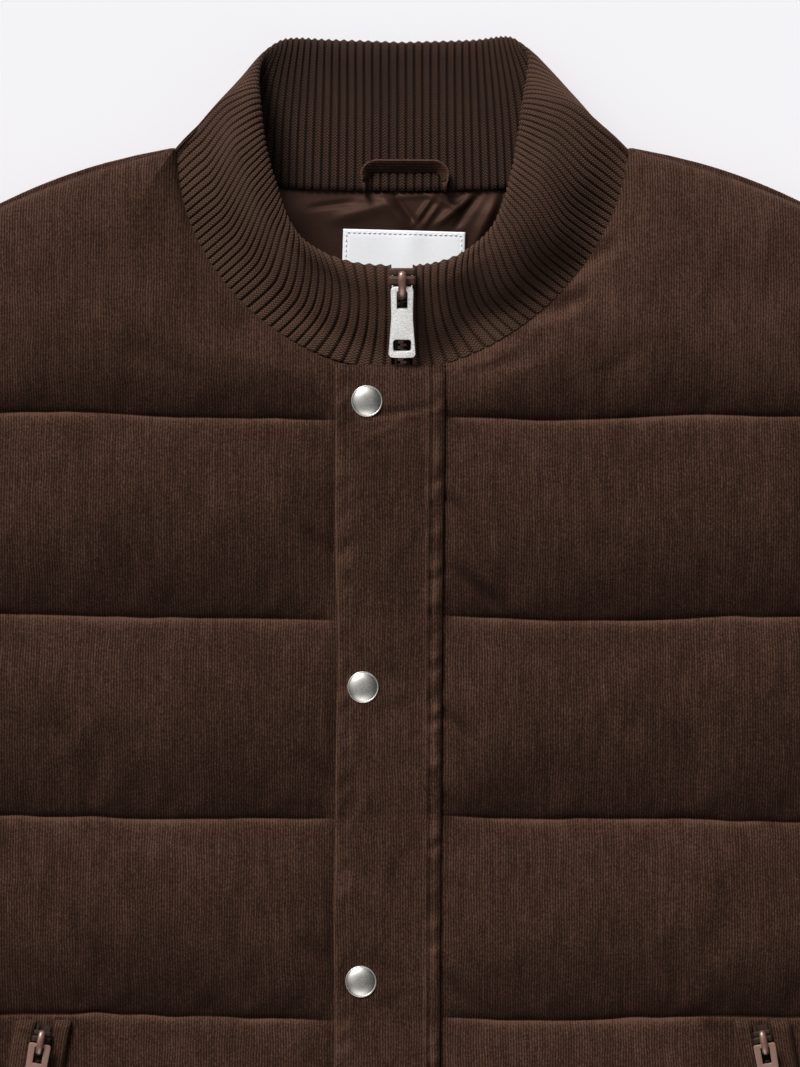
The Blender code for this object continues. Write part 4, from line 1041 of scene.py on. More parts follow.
# by side: share of the way round from the centre back to the zip, then of the top there its x, drop and z,
# and the sway, the bow, where the roll starts and ends, and the crown
collarTop = {
    1: (
        (0.000, 0.0000, -0.0510, 0.0040, 0.000, 0.000, 0.10, 0.90, 0.0000),
        (0.130, 0.0330, -0.0520, 0.0040, 0.000, 0.000, 0.10, 0.90, 0.0000),
        (0.240, 0.0525, -0.0535, 0.0060, 0.000, 0.004, 0.10, 0.90, 0.0000),
        (0.295, 0.0600, -0.0475, 0.0120, 0.000, 0.010, 0.10, 0.90, 0.0008),
        (0.355, 0.0592, -0.0365, 0.0210, 0.001, 0.011, 0.10, 0.90, 0.0020),
        (0.430, 0.0566, -0.0235, 0.0300, 0.004, 0.006, 0.10, 0.88, 0.0030),
        (0.535, 0.0535, -0.0030, 0.0360, 0.007, 0.000, 0.04, 0.74, 0.0030),
        (0.645, 0.0485, 0.0200, 0.0365, 0.008, -0.003, 0.00, 0.66, 0.0030),
        (0.750, 0.0408, 0.0388, 0.0355, 0.007, -0.009, 0.10, 0.70, 0.0015),
        (0.850, 0.0280, 0.0502, 0.0345, 0.004, -0.010, 0.20, 0.80, 0.0000),
        (0.920, 0.0162, 0.0546, 0.0340, 0.003, -0.005, 0.10, 0.82, 0.0000),
        (1.000, 0.0050, 0.0562, 0.0340, 0.003, 0.000, 0.12, 0.86, 0.0000)),
    -1: (
        (0.000, 0.0000, -0.0510, 0.0040, 0.000, 0.000, 0.10, 0.90, 0.0000),
        (0.130, 0.0340, -0.0522, 0.0040, 0.000, 0.000, 0.10, 0.90, 0.0000),
        (0.240, 0.0565, -0.0525, 0.0060, 0.000, 0.003, 0.10, 0.90, 0.0000),
        (0.295, 0.0655, -0.0470, 0.0125, 0.000, 0.006, 0.14, 0.90, 0.0000),
        (0.355, 0.0682, -0.0385, 0.0230, 0.001, 0.007, 0.22, 0.92, 0.0010),
        (0.430, 0.0668, -0.0260, 0.0340, 0.005, 0.004, 0.30, 0.94, 0.0015),
        (0.535, 0.0640, -0.0030, 0.0410, 0.008, 0.000, 0.32, 0.94, 0.0015),
        (0.645, 0.0574, 0.0200, 0.0400, 0.009, -0.003, 0.26, 0.90, 0.0015),
        (0.750, 0.0492, 0.0395, 0.0378, 0.008, -0.010, 0.20, 0.86, 0.0010),
        (0.850, 0.0362, 0.0502, 0.0355, 0.005, -0.012, 0.18, 0.84, 0.0000),
        (0.920, 0.0216, 0.0548, 0.0342, 0.003, -0.007, 0.15, 0.85, 0.0000),
        (1.000, 0.0050, 0.0562, 0.0340, 0.003, 0.000, 0.12, 0.86, 0.0000)),
}


def resample(line, count):
    lengths = pathLengths(line)
    points = []
    for k in range(count + 1):
        i, t = onPath(lengths, lengths[-1] * k / count)
        points.append(tuple(a + (b - a) * t for a, b in zip(line[i], line[i + 1])))
    return points


def collarFoot(side):
    count = collarCut["seamPoints"]
    half, backPower, frontPower = (
        bodyCut["neckHalf"], bodyCut["backNeckPower"], bodyCut["frontNeckPower"][side])
    seam = []
    for k in range(count + 1):
        c, s = math.cos(math.pi / 2 * k / count), math.sin(math.pi / 2 * k / count)
        seam.append((half * s ** (2 / backPower), bodyCut["backNeckDrop"] * c ** (2 / backPower)))
    for k in range(1, count + 1):
        c, s = max(math.cos(math.pi / 2 * k / count), 0.0), math.sin(math.pi / 2 * k / count)
        seam.append((half * c ** (2 / frontPower), bodyCut["frontNeckDrop"] * s ** (2 / frontPower)))
    line = resample(seam, count)
    corner = max(range(len(line)), key=lambda k: line[k][0] - line[k][1])
    inset = []
    for k, (x, drop) in enumerate(line):
        ax, ad = line[max(k - 1, 0)]
        bx, bd = line[min(k + 1, count)]
        away = collarCut["seam"] / math.dist((ax, ad), (bx, bd))
        if k < corner:
            away = -away
        inset.append((x - (bd - ad) * away, drop + (bx - ax) * away))
    inset[0] = (0.0, inset[0][1])
    for _ in range(collarCut["softening"]):
        inset = [inset[0]] + [tuple((a + 2 * b + c) / 4 for a, b, c in zip(*three))
                              for three in zip(inset, inset[1:], inset[2:])] + [inset[-1]]
    push = [math.exp(-((k - corner) / collarCut["cornerSpread"]) ** 2) for k in range(len(inset))]
    outX, outDrop = collarCut["cornerOut"]
    inset = [(x + outX * w, drop - outDrop * w) for (x, drop), w in zip(inset, push)]
    while len(inset) > 2 and inset[-2][0] < collarCut["endX"]:
        inset.pop(-2)
    inset[-1] = (collarCut["endX"], inset[-1][1])
    return np.array(resample(inset, 4 * collarCut["ribs"]))


foot = {side: collarFoot(side) for side in (1, -1)}


def between(value, limits):
    return smoothStep((value - limits[0]) / (limits[1] - limits[0]))


def collarHalf(share, height, side):
    # the mean outside of one side: shares round it down, heights across;
    # under the seam it turns straight down
    table = np.array([readTable(collarTop[side], s) for s in share])
    topX, topDrop, topZ, sway, bow, rollFrom, rollTo, crown = (table[:, k][:, None] for k in range(8))
    at, marks = share * (len(foot[side]) - 1), np.arange(len(foot[side]))
    footX = np.interp(at, marks, foot[side][:, 0])[:, None]
    footDrop = np.interp(at, marks, foot[side][:, 1])[:, None]
    footZ = (collarCut["backZ"]
             + (collarCut["sideZ"] - collarCut["backZ"]) * between(share, collarCut["sideRise"]))
    footZ = (footZ
             + (collarCut["frontZ"] - collarCut["sideZ"]) * between(share, collarCut["frontRise"])
             )[:, None]
    h = np.maximum(height, 0.0)[None, :]
    x = footX + (topX - footX) * h
    drop = footDrop + (topDrop - footDrop) * h - sway * (between(h, collarCut["swayRange"]) - h)
    bulge = bow * np.sin(math.pi * h) * math.sqrt(0.5)
    x, drop = x + bulge, drop - np.maximum(bulge, 0.0)  # outwards at the shoulder, towards the zip in front
    rise = (1 - collarCut["roll"]) * h + collarCut["roll"] * between(h, (rollFrom, rollTo))
    z = footZ + (topZ - footZ) * rise + crown * np.sin(math.pi * h ** collarCut["crownPower"][side])
    z = z + np.minimum(height, 0.0)[None, :]
    return np.stack([side * x, shoulderY - drop, z], axis=-1)


def ribShare(rib):
    # the ribs stand wider apart towards the zip
    return np.interp(np.abs(rib) / collarCut["ribs"],
                     (0.0, 0.307, 0.777, 0.908, 1.0), (0.0, 0.30, 0.70, 0.85, 1.0))


def collarMean(rib, height):
    share = ribShare(rib)
    left, right = (collarHalf(share, height, side) for side in (1, -1))
    return np.where((rib > 0)[:, None, None], left, right)


def collarOut(rib, height):
    ribs = collarCut["ribs"]
    low, high = np.maximum(height - 0.025, 0.0), np.clip(height + 0.025, 0.05, 1.0)
    up = collarMean(rib, high) - collarMean(rib, low)
    height = np.maximum(height, 0.0)
    along = collarMean(np.minimum(rib + 0.7, ribs), height) - collarMean(np.maximum(rib - 0.7, -ribs), height)
    out = np.cross(up, along)
    return out / np.linalg.norm(out, axis=-1, keepdims=True), up / np.linalg.norm(up, axis=-1, keepdims=True)


def ribShape(rib):
    # flat rib with a narrow valley on each side and a faint split down its middle
    valley = np.abs(np.mod(rib, 1.0) - 0.5)
    return 0.5 - 1.7 * bell(valley, 0.105) - 0.15 * bell(0.5 - valley, 0.07)


def makeCollar():
    ribs, per = collarCut["ribs"], collarCut["columnsPerRib"]
    rib = np.arange(-ribs * per, ribs * per + 1) / per
    top = collarCut["foldFrom"]
    outer = np.concatenate([[-collarCut["tuck"]], np.linspace(0.0, top, 44)])
    fold = np.linspace(0, math.pi, 15)
    foldHeight = top + (1 - top) * np.sin(fold)
    inner = np.concatenate([np.linspace(top, 0.0, 22), [-collarCut["tuck"]]])
    height = np.concatenate([outer, foldHeight[1:-1], inner])
    depth = np.concatenate([np.zeros(len(outer)), (0.5 - 0.5 * np.cos(fold))[1:-1], np.ones(len(inner))])
    mean = collarMean(rib, height)
    out, up = collarOut(rib, height)
    share, h, d = ribShare(rib)[:, None], height[None, :], depth[None, :]
    # ribs lie flatter where the wall bends and stand out over the fold
    deep = 0.85 - 0.45 * bell(h - 0.60, 0.13) + 0.45 * smoothStep((h - 0.80) / 0.15)
    turn = bell(share - collarCut["thinAt"], collarCut["thinSpread"])
    crest = ribShape(rib)[:, None] * collarCut["ribOut"] * deep * (1 - 0.6 * turn)
    front = smoothStep((share - 0.36) / 0.16)
    ripple = collarCut["ripple"] * softNoise(rib[:, None] / 4.5, h * 3.0, 51) * front * smoothStep(h / 0.15)
    # the wall is thin at the seam, thinner where it turns under at the shoulder, and full at the fold
    atFoot = collarCut["footWall"] + collarCut["backFoot"] * (1 - smoothStep((share - 0.16) / 0.14))
    wall = collarCut["wall"] * (atFoot + (1 - atFoot) * smoothStep(h / 0.6))
    upper = smoothStep((h - 0.5) / 0.4)
    for (at, spread, thinner), where in ((collarCut["underTurn"], 1 - upper),
                                         (collarCut["backCorner"], upper)):
        wall = wall * (1 - thinner * bell(share - at, spread) * where)
    outward = 1 - 2 * d
    upward = np.sqrt(np.maximum(1 - outward ** 2, 0.0))  # ribs stand up over the fold
    offset = crest * outward - wall * d + ripple
    lump = collarCut["foldRib"] * np.cos(2 * math.pi * rib)[:, None] * upward
    verts = (mean + out * offset[..., None] + up * lump[..., None]).reshape(-1, 3)
    columns = len(height)
    faces = gridFaces(len(rib), columns)
    for i in range(len(rib) - 1):
        faces.append((i * columns, (i + 1) * columns, (i + 2) * columns - 1, (i + 1) * columns - 1))
    faces.append(tuple(range(columns)))
    faces.append(tuple(range((len(rib) - 1) * columns, len(rib) * columns)))
    piece = closedPiece("collarKnit", verts, faces)
    steps = np.linalg.norm(np.diff(mean - out * (wall * d)[..., None], axis=1), axis=-1)
    run = np.concatenate([np.zeros((len(rib), 1)), np.cumsum(steps, axis=1)], axis=1)
    giveUv(piece, np.stack(np.broadcast_arrays(rib[:, None], run / collarCut["stitch"]),
                           axis=-1).reshape(-1, 2))
    # painted shade on the inside, deepest at its back right and in the rib valleys there; painted light where
    # the outside turns under at the shoulder; a little lighter towards the zip
    valley = bell(np.abs(np.mod(rib, 1.0) - 0.5), 0.17)[:, None]
    tone = 0.05 * smoothStep((share - 0.70) / 0.14) - 0.50 * d
    tone = tone - 0.34 * bell(rib / ribs + 0.33, 0.11)[:, None] * d + (0.10 - 0.38 * valley) * d
    tone = tone + 0.20 * turn * (1 - d) * (1 - smoothStep((h - 0.25) / 0.35))
    paintLightAndShade(piece, tone.ravel())
    dress(piece, "rib_knit", knitMaterial, "collar")


makeCollar()
print("collar knitted")


# zip

zipCut = {"half": 0.0035, "thick": 0.003, "z": 0.0126, "proud": 0.0004, "top": 0.93, "bend": 0.001,
          "sliderHeight": 0.79, "tilt": math.radians(10), "toothPitch": 0.0014, "toothLift": -0.0009}
mainSlider = {"length": 0.0125, "width": 0.0130, "foot": 0.0105, "thick": 0.0026, "bailWidth": 0.0036,
              "bailWall": 0.0011, "eye": 0.0016, "hinge": (0.0, 0.25212, 0.038501), "finish": sliderMaterial}
pocketSlider = {"length": 0.0095, "width": 0.0090, "foot": 0.0075, "thick": 0.0020, "bailWidth": 0.0030,
                "bailWall": 0.0010, "eye": 0.0014, "hinge": (0.169575, -0.10165, 0.029083),
                "finish": shadedSliderMaterial}
mainPull = {
    "length": 0.0360, "top": 0.0108, "waist": 0.0102, "foot": 0.0130, "thick": 0.0016, "bar": 0.0010,
    "slotWidth": 0.0048, "slotEnd": 0.0100, "hole": (0.0083, 0.0062), "edge": 0.00032, "corner": 0.0021,
}
pocketPull = {
    "length": 0.0340, "top": 0.0104, "waist": 0.0098, "foot": 0.0112, "thick": 0.0014, "bar": 0.0009,
    "slotWidth": 0.0042, "slotEnd": 0.0085, "hole": (0.0072, 0.0050), "edge": 0.00028, "corner": 0.0009,
}


def zipFrame(height):
    end = np.array([1.0])
    point, below, above = (Vector(collarHalf(end, np.array([h]), 1)[0, 0])
                           for h in (height, max(height - 0.025, 0.0), min(height + 0.025, 1.0)))
    down = (below - above).normalized()
    point.x = 0.0
    return point, down, Vector((-1, 0, 0)).cross(down)


def zipLine():
    line = [Vector((0, shoulderY - bodyCut["length"], zipCut["z"] + zipCut["thick"])),
            Vector((0, shoulderY - bodyCut["frontNeckDrop"] - zipCut["bend"], zipCut["z"] + zipCut["thick"]))]
    for k in range(21):
        point, _, out = zipFrame(zipCut["top"] * k / 20)
        line.append(point + out * zipCut["proud"])
    return line


# two tape edges with a low step where the teeth sit
tapeProfile = ((-1.0, -0.9), (-1.0, -0.35), (-0.62, -0.30), (-0.58, -0.55),
               (0.58, -0.55), (0.62, -0.30), (1.0, -0.35), (1.0, -0.9))


def makeTape(name, line, across, half, thick, node):
    verts = []
    for k, point in enumerate(line):
        along = (line[min(k + 1, len(line) - 1)] - line[max(k - 1, 0)]).normalized()
        out = across.cross(along).normalized()
        verts += [point + across * half * u + out * thick * v for u, v in tapeProfile]
    tape = closedPiece(name, verts, tubeFaces(len(line), len(tapeProfile)))
    dress(tape, "zip_brown", tapeMaterial, node)


def modelTooth():
    # one tooth: a block with a narrower nose, soft edges
    bpy.ops.mesh.primitive_cube_add(size=1.0, location=(0, 0, 0))
    tooth = bpy.context.object
    tooth.scale = (0.0024, 0.0012, 0.0016)
    bpy.ops.object.transform_apply(location=False, rotation=False, scale=True)
    openEdit(tooth, lambda face: face.normal.x > 0.9)
    bpy.ops.mesh.inset(thickness=0.00018)
    bpy.ops.transform.translate(value=(0.0005, 0, 0))
    closeEdit()
    shape = [v.co.copy() for v in tooth.data.vertices], [tuple(p.vertices) for p in tooth.data.polygons]
    bpy.data.objects.remove(tooth, do_unlink=True)
    return shape


toothShape = modelTooth()


def makeTeeth(name, line, across, pitch, size, lift):
    lengths = pathLengths(line)
    verts, faces = [], []
    for k in range(int(lengths[-1] / pitch)):
        i, t = onPath(lengths, (k + 0.5) * pitch)
        point = line[i].lerp(line[i + 1], t)
        along = (line[i + 1] - line[i]).normalized()
        out = across.cross(along).normalized()
        side = 1 if k % 2 else -1
        base = len(verts)
        for co in toothShape[0]:
            verts.append(point + across * side * (0.00085 - co.x) * size + along * co.y * size * side
                         + out * (co.z * size + lift))
        faces += [tuple(base + v for v in face) for face in toothShape[1]]
    teeth = closedPiece(name, verts, faces)
    teeth.data.shade_flat()
    dress(teeth, "zip_brown", toothMaterial)


acrossZip = Vector((1, 0, 0))
mainLine = zipLine()
makeTape("zipTape", mainLine, acrossZip, zipCut["half"], zipCut["thick"], "zip")
makeTeeth("zipTeeth", mainLine, acrossZip, zipCut["toothPitch"], 1.0, zipCut["toothLift"])


def frameMatrix(origin, across, down, out):
    matrix = Matrix((across, down, out)).transposed().to_4x4()
    matrix.translation = origin
    return matrix


def block(width, length, thick, y, z, soft):
    bpy.ops.mesh.primitive_cube_add(size=1.0, location=(0, y, z))
    made = bpy.context.object
    made.scale = (width, length, thick)
    bpy.ops.object.transform_apply(location=True, rotation=False, scale=True)
    bevelled(made, soft, 4)
    return made


def modelSlider(name, sizes, matrix, node):
    # two pairs of wings over a narrower body, and a long strap bail; local y runs down the zip
    top, length, thick = -sizes["eye"] - sizes["bailWall"], sizes["length"], sizes["thick"]
    bpy.ops.object.select_all(action="DESELECT")
    body = block(sizes["width"], length * 0.36, thick, -length * 0.25, top - thick / 2, thick * 0.40)
    body.name = name
    openEdit(body, lambda face: face.normal.z > 0.9)
    bpy.ops.mesh.inset(thickness=0.0005)
    bpy.ops.transform.translate(value=(0, 0, 0.0003))
    closeEdit()
    parts = [body]
    for width, long, deep, y, z, soft in ((sizes["width"] * 0.92, 0.27, 0.85, 0.585, 0.55, 0.38),
                                          (sizes["foot"] * 0.82, 1.02, 0.62, 0.14, 0.62, 0.20)):
        parts.append(block(width, length * long, thick * deep, -length * y, top - thick * z, thick * soft))
    wire = sizes["bailWall"] / 2
    bpy.ops.mesh.primitive_torus_add(major_radius=sizes["eye"] + wire, minor_radius=wire, major_segments=40,
                                     minor_segments=12, rotation=(0, math.pi / 2, 0))
    bail = bpy.context.object
    bpy.ops.object.transform_apply(location=True, rotation=True, scale=True)
    openEdit(bail)
    bpy.ops.transform.resize(value=(sizes["bailWidth"] / sizes["bailWall"], 2.5, 1.1))
    bpy.ops.transform.translate(value=(0, -length * 0.15, 0))
    closeEdit()
    bail.name = name + "Bail"
    for part in parts:
        part.select_set(True)
    bpy.context.view_layer.objects.active = body
    bpy.ops.object.join()
    bpy.ops.object.shade_smooth_by_angle(angle=math.radians(40))
    bpy.ops.object.select_all(action="DESELECT")
    for piece, material, nodes in ((body, sizes["finish"], (node,)), (bail, bailMaterial, ())):
        setDown(piece, matrix)
        dress(piece, "slider_brown", material, *nodes)


def roundedCorner(before, at, after, radius, steps):
    back, on = ((other - at).normalized() * radius for other in (before, after))
    return [at + back * (1 - t) ** 2 + on * t * t for t in (k / steps for k in range(steps + 1))]


def roundedOutline(corners, radius):
    corners = [Vector(corner) for corner in corners]
    points = []
    for k, at in enumerate(corners):
        points += roundedCorner(corners[k - 1], at, corners[(k + 1) % len(corners)], radius, 6)
    return points


def modelPull(name, sizes, matrix, body, slot, material, node):
    # flat tab with a slot and a hole, its edges rounded by the curve's bevel
    end = sizes["length"] - sizes["bar"]
    edge = sizes["edge"]
    waist = end * 0.42
    head, middle, tail = (sizes[key] / 2 - edge for key in ("top", "waist", "foot"))
    outer = ((-head, -sizes["bar"] + edge), (head, -sizes["bar"] + edge), (middle, waist), (tail, end - edge),
             (0.0, end + 0.0003 - edge), (-tail, end - edge), (-middle, waist))

    def oblong(x, low, high):
        return (-x, low), (x, low), (x, high), (-x, high)

    slotLine = oblong(sizes["slotWidth"] / 2 + edge, sizes["bar"] - edge, sizes["slotEnd"] + edge)
    hx, hy = (size / 2 + edge for size in sizes["hole"])
    centre = end - 0.0046 - sizes["hole"][1] / 4
    holeLine = oblong(hx, centre - hy, centre + hy)
    curve = bpy.data.curves.new(name, "CURVE")
    curve.dimensions = "2D"
    curve.fill_mode = "BOTH"
    curve.extrude = sizes["thick"] / 2 - edge
    curve.bevel_depth = edge
    curve.bevel_resolution = 3
    for corners, radius in ((outer, sizes["corner"]), (slotLine, sizes["corner"] * 0.5),
                            (holeLine, hy * 0.6)):
        outline = roundedOutline(corners, radius)
        spline = curve.splines.new("POLY")
        spline.points.add(len(outline) - 1)
        for point, co in zip(spline.points, outline):
            point.co = (co.x, co.y, 0, 1)
        spline.use_cyclic_u = True
    pull = place(name, curve)
    pull.select_set(True)
    bpy.context.view_layer.objects.active = pull
    bpy.ops.object.convert(target="MESH")
    pull = bpy.context.object
    openEdit(pull)
    bpy.ops.mesh.remove_doubles(threshold=0.00001)
    bpy.ops.mesh.normals_make_consistent(inside=False)
    closeEdit()
    setDown(pull, matrix)
    dress(pull, slot, material, node, body=body)


def sliderAndPull(label, side, across, down, out, sliderSizes, pullSizes, tilt, body, slot, material, nodes):
    x, y, z = sliderSizes["hinge"]
    axis = Vector((side * x, y, z))
    modelSlider(label + "Slider", sliderSizes, frameMatrix(axis, across, down, out), nodes[0])
    turned = Matrix.Rotation(-tilt, 3, across)
    modelPull(label + "Pull", pullSizes, frameMatrix(axis, across, turned @ down, turned @ out),
              body, slot, material, nodes[1])


_, down, out = zipFrame(zipCut["sliderHeight"])
sliderAndPull("zip", 1, Vector((-1, 0, 0)), down, out, mainSlider, mainPull, zipCut["tilt"],
              "main_pull", "pull_silver", silverMaterial, ("zip_slider", "zip_pull"))
print("zip made")


# pockets

pocketZip = {"lift": 0.0031, "half": 0.0034, "thick": 0.0025, "toothPitch": 0.00125, "toothSize": 0.8,
             "toothLift": -0.0008, "tilt": math.radians(5)}


def makeWelt(name, side, low, high, node):
    # folded strip, rounded along the edge at the zip
    steps = np.linspace(pocketCut["top"], pocketCut["drop"] + pocketCut["run"], 70)
    inner = np.linspace(0, 1, 13)
    x = side * (pocketX(steps)[:, None] + low + (high - low) * inner[None, :])
    drop = np.repeat(steps[:, None], len(inner), axis=1)
    base = frontHeight(np.abs(x), drop, side) + pocketCut["weltLift"]
    t = inner[None, :]
    ends = (np.minimum(steps - steps[0], steps[-1] - steps) / pocketCut["weltEnd"])[:, None]
    roll = np.sqrt(np.clip(1 - np.abs(2 * t - 1) ** 4, 0.05, 1)) * np.sqrt(np.clip(ends + 0.25, 0.25, 1))
    top = base + pocketCut["weltHigh"] * roll + 0.0002 * softNoise(drop / 0.012, t * 2 + side, 61)
    welt = layeredSheet(name, x, drop, base, top)
    # painted shade along both long edges of the welt, a little lighter between
    paintedLight = np.repeat(0.08 - 0.35 * bell(np.minimum(t, 1 - t), 0.10), len(steps), axis=0).ravel()
    paintLightAndShade(welt, np.concatenate([paintedLight, paintedLight]))
    dress(welt, "corduroy", weltCord[side], node)


def makePocket(label, node, side, body):
    makeWelt(label + "WeltInner", side, -pocketCut["innerHalf"], -pocketCut["weltInside"],
             node + "_welt_inner")
    makeWelt(label + "WeltOuter", side, pocketCut["weltInside"], pocketCut["half"], node + "_welt_outer")
    drops = pocketCut["drop"] + pocketCut["run"] * np.arange(40) / 39
    x = pocketX(drops)
    z = frontHeight(x, drops, side) + pocketZip["lift"]
    line = [Vector(point) for point in zip(side * x, shoulderY - drops, z)]
    down = Vector((side * pocketCut["lean"], -1, 0)).normalized()
    across = Vector((0, 0, 1)).cross(down) * -1
    makeTape(label + "Tape", line, across, pocketZip["half"], pocketZip["thick"], node + "_zip")
    makeTeeth(label + "Teeth", line[4:], across,
              *(pocketZip[key] for key in ("toothPitch", "toothSize", "toothLift")))
    sliderAndPull(label, side, across, down, across.cross(down), pocketSlider, pocketPull, pocketZip["tilt"],
                  body, "pocket_pull_brown", pocketPullMaterial, (node + "_slider", node + "_pull"))


makePocket("pocketLeft", "pocket_left", 1, "left_pocket_pull")
makePocket("pocketRight", "pocket_right", -1, "right_pocket_pull")
print("pockets made")


# neck: lining, label, hanger loop

labelCut = {"size": (0.0575, 0.030), "x": 0.001, "drop": 0.0385, "turn": math.radians(-1.6), "thick": 0.0007,
            "seam": 0.0016}
# x, drop, angle up from across, half length, half width, height
liningFolds = (
    (0.0010, 0.0279, -54, 0.0090, 0.0012, -0.0017), (-0.0035, 0.0300, -50, 0.0100, 0.0026, 0.0014),
    (0.0098, 0.0292, 55, 0.0075, 0.0010, 0.0016), (0.0128, 0.0325, 55, 0.0085, 0.0013, 0.0014),
    (0.0190, 0.0245, -24, 0.0080, 0.0015, 0.0013), (0.0245, 0.0290, 40, 0.0120, 0.0018, 0.0016),
    (0.0300, 0.0300, 56, 0.0120, 0.0018, -0.0014), (0.0370, 0.0380, 62, 0.0160, 0.0024, 0.0016),
    (-0.0170, 0.0290, 16, 0.0150, 0.0030, 0.0014), (-0.0330, 0.0262, 8, 0.0100, 0.0013, -0.0010),
    (-0.0480, 0.0440, -62, 0.0180, 0.0050, 0.0010), (0.0455, 0.0300, 74, 0.0140, 0.0018, -0.0012),
    (0.0520, 0.0300, 66, 0.0160, 0.0024, 0.0014), (0.0040, 0.0222, 4, 0.0260, 0.0012, 0.0006),
)


def liningHeight(x, drop):
    flat = smoothStep((drop - 0.0350) / 0.004) * smoothStep((0.036 - np.abs(x - labelCut["x"])) / 0.006)
    height = bodyCut["backInside"] + 0.0016 + creaseSum(liningFolds, x, drop) * (1 - 0.9 * flat)
    return np.maximum(height + 0.0004 * softNoise(x / 0.018, drop / 0.012, 71),
                      bodyCut["backInside"] + 0.0003)


def makeLining():
    columns, rowsDown = 161, 81
    share = np.linspace(-0.93, 0.93, columns)
    x = np.repeat((0.92 * bodyCut["neckHalf"] * share)[None, :], rowsDown, axis=0)
    top = np.array([backNeckDrop(v) - 0.0014 for v in x[0]])
    power = bodyCut["frontNeckPower"][1]
    bottom = 0.93 * bodyCut["frontNeckDrop"] * (1 - np.abs(share) ** power) ** (1 / power)
    t = np.linspace(0, 1, rowsDown)[:, None]
    drop = top[None, :] + (np.maximum(bottom, top + 0.004) - top)[None, :] * t
    dip = 0.0019 * (1 - smoothStep((drop - top[None, :]) / 0.014))  # under the collar's edge
    height = liningHeight(x, drop) - dip
    piece = layeredSheet("neckLining", x, drop, height - 0.0001, height + 0.0008)
    dress(piece, "lining_satin", liningMaterial, "lining")


makeLining()


def onLabel(u, v):
    c, s = math.cos(labelCut["turn"]), math.sin(labelCut["turn"])
    x = labelCut["x"] + u * c + v * s
    drop = labelCut["drop"] - (u * s - v * c)
    lift = (0.0032 + 0.0008 * np.cos(u / labelCut["size"][0] * math.pi)
            + 0.0003 * softNoise(u / 0.02, v / 0.02, 81))
    z = bodyCut["backInside"] + lift + 0.0009 * np.exp(-((u - 0.004) / 0.006) ** 2 - (v / 0.012) ** 2)
    return x, drop, z


def makeLabel():
    u = np.linspace(-labelCut["size"][0] / 2, labelCut["size"][0] / 2, 61)
    v = np.linspace(0, labelCut["size"][1], 31)
    uu, vv = np.meshgrid(u, v)
    x, drop, z = onLabel(uu, vv)
    edge = np.minimum(np.minimum(uu - u[0], u[-1] - uu), np.minimum(vv, v[-1] - vv))
    dent = 0.00025 * bell(edge - labelCut["seam"], 0.0005)
    piece = layeredSheet("neckLabel", x, drop, z, z + labelCut["thick"] - dent)
    dress(piece, "label_satin", labelMaterial, "label")
    inset = labelCut["seam"]
    half, low = labelCut["size"][0] / 2 - inset, labelCut["size"][1] - inset
    path = [(-half, low), (-half, inset), (half, inset), (half, low)]
    points = []
    for (ua, va), (ub, vb) in zip(path, path[1:]):
        for k in range(12):
            x, drop, z = onLabel(ua + (ub - ua) * k / 12, va + (vb - va) * k / 12)
            points.append((float(x), shoulderY - float(drop), float(z) + labelCut["thick"]))
    stitchRow("labelStitching", points, 0.0017, 0.0007, 0.0004, "label_satin", whiteThread)


makeLabel()

loopCut = {"left": -0.0178, "right": 0.0203, "reach": 0.0110, "drop": 0.0190, "width": 0.0068,
           "thick": 0.0017, "corner": 0.007, "z": 0.0142, "lean": math.radians(52)}


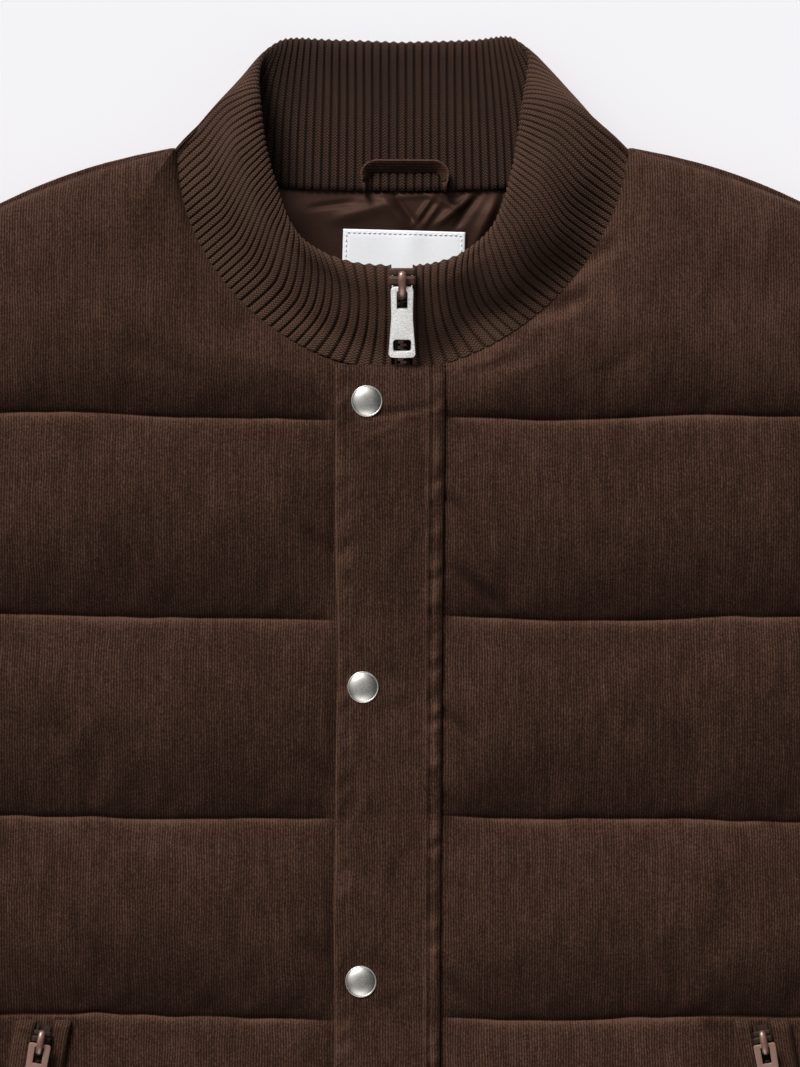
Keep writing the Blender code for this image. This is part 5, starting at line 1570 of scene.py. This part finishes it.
def makeLoop():
    corners = [Vector(c) for c in ((loopCut["left"], -0.001), (loopCut["left"], loopCut["reach"]),
                                   (loopCut["right"], loopCut["reach"]), (loopCut["right"], -0.001))]
    path = [corners[0].lerp(corners[1], t / 4) for t in range(3)]
    path += roundedCorner(*corners[:3], loopCut["corner"], 10)
    path += [corners[1].lerp(corners[2], t) for t in (0.3, 0.4, 0.5, 0.6, 0.7)]
    path += roundedCorner(*corners[1:], loopCut["corner"], 10)
    path += [corners[2].lerp(corners[3], t / 4) for t in (2, 3, 4)]
    section = []
    for k in range(20):
        c, s = math.cos(2 * math.pi * k / 20), math.sin(2 * math.pi * k / 20)
        section.append((math.copysign(abs(c) ** 0.6, c) * loopCut["thick"] / 2,
                        math.copysign(abs(s) ** 0.35, s) * loopCut["width"] / 2))
    verts = []
    for k, at in enumerate(path):
        along = path[min(k + 1, len(path) - 1)] - path[max(k - 1, 0)]
        outward = Vector((-along.y, along.x)).normalized()
        lean = loopCut["lean"] * float(smoothStep(at.y / loopCut["reach"]))
        c, s = math.cos(lean), math.sin(lean)
        for a, b in section:
            spot = at + outward * (a * c + b * s)
            height = loopCut["z"] + (loopCut["width"] / 2 + b) * c - a * s
            verts.append((spot.x, shoulderY - loopCut["drop"] + spot.y, height))
    piece = closedPiece("hangerLoop", verts, tubeFaces(len(path), len(section)))
    # painted highlight on the loop's two thin edges and painted shade on its faces
    paintLightAndShade(piece, [0.28 if abs(math.cos(2 * math.pi * k / 20)) < 0.5 else -0.12
                     for k in range(20)] * len(path))
    dress(piece, "corduroy", loopCord, "hanger_loop")


makeLoop()
print("neck finished")


# stage

def paleFloor():
    bpy.ops.mesh.primitive_plane_add(size=40.0, location=(0, 0, -0.0002))
    floor = bpy.context.object
    floor.name = "floor"
    material, shader, coords = startMaterial("palePaper")
    tint(shader, noiseOn(coords, 6.0, 2.0), (0.3, (0.885, 0.88, 0.91)), (0.7, (0.895, 0.89, 0.92)))
    setShader(shader, Roughness=0.9, Specular_IOR_Level=0.1)
    floor.data.materials.append(material)


paleFloor()
lamp = bpy.data.lights.new("keyLight", "SUN")
lamp.energy = light["key"]
lamp.angle = light["spread"]
lamp.color = (1.0, 0.99, 0.98)
key = place("keyLight", lamp)
key.location = Vector(light["from"]) * 3
key.rotation_euler = Vector(light["from"]).to_track_quat("Z", "Y").to_euler()

world = bpy.data.worlds.new("studioSky")
scene.world = world
world.use_nodes = True
sky = world.node_tree
looking = add(sky, "ShaderNodeTexCoord").outputs["Generated"]


def glow(towards, narrow, power):
    # brightness of the sky round one direction
    facing = add(sky, "ShaderNodeVectorMath", operation="DOT_PRODUCT")
    join(looking, facing.inputs[0])
    facing.inputs[1].default_value = Vector(towards).normalized()
    return times(calc("POWER", calc("MAXIMUM", facing.outputs["Value"], 0.0), narrow), power)


strength = plus(glow(light["from"], light["patchPower"], light["patch"]), light["sky"])
# white cards that only shiny things mirror
mirrored = add(sky, "ShaderNodeLightPath").outputs["Is Glossy Ray"]
for towards, power, narrow in light["cards"]:
    strength = plus(strength, times(glow(towards, narrow, power), mirrored))
join(strength, sky.nodes["Background"].inputs["Strength"])
sky.nodes["Background"].inputs["Color"].default_value = (1.0, 1.0, 1.0, 1.0)
scene.view_settings.view_transform = "Standard"

camera = place("camera", bpy.data.cameras.new("camera"))
camera.location = (view["x"], shoulderY - view["drop"], view["height"])
camera.rotation_euler = (0, 0, 0)
camera.data.lens = view["lens"]
camera.data.sensor_width = 36.0
camera.data.clip_end = 50.0
scene.camera = camera
print("stage set")
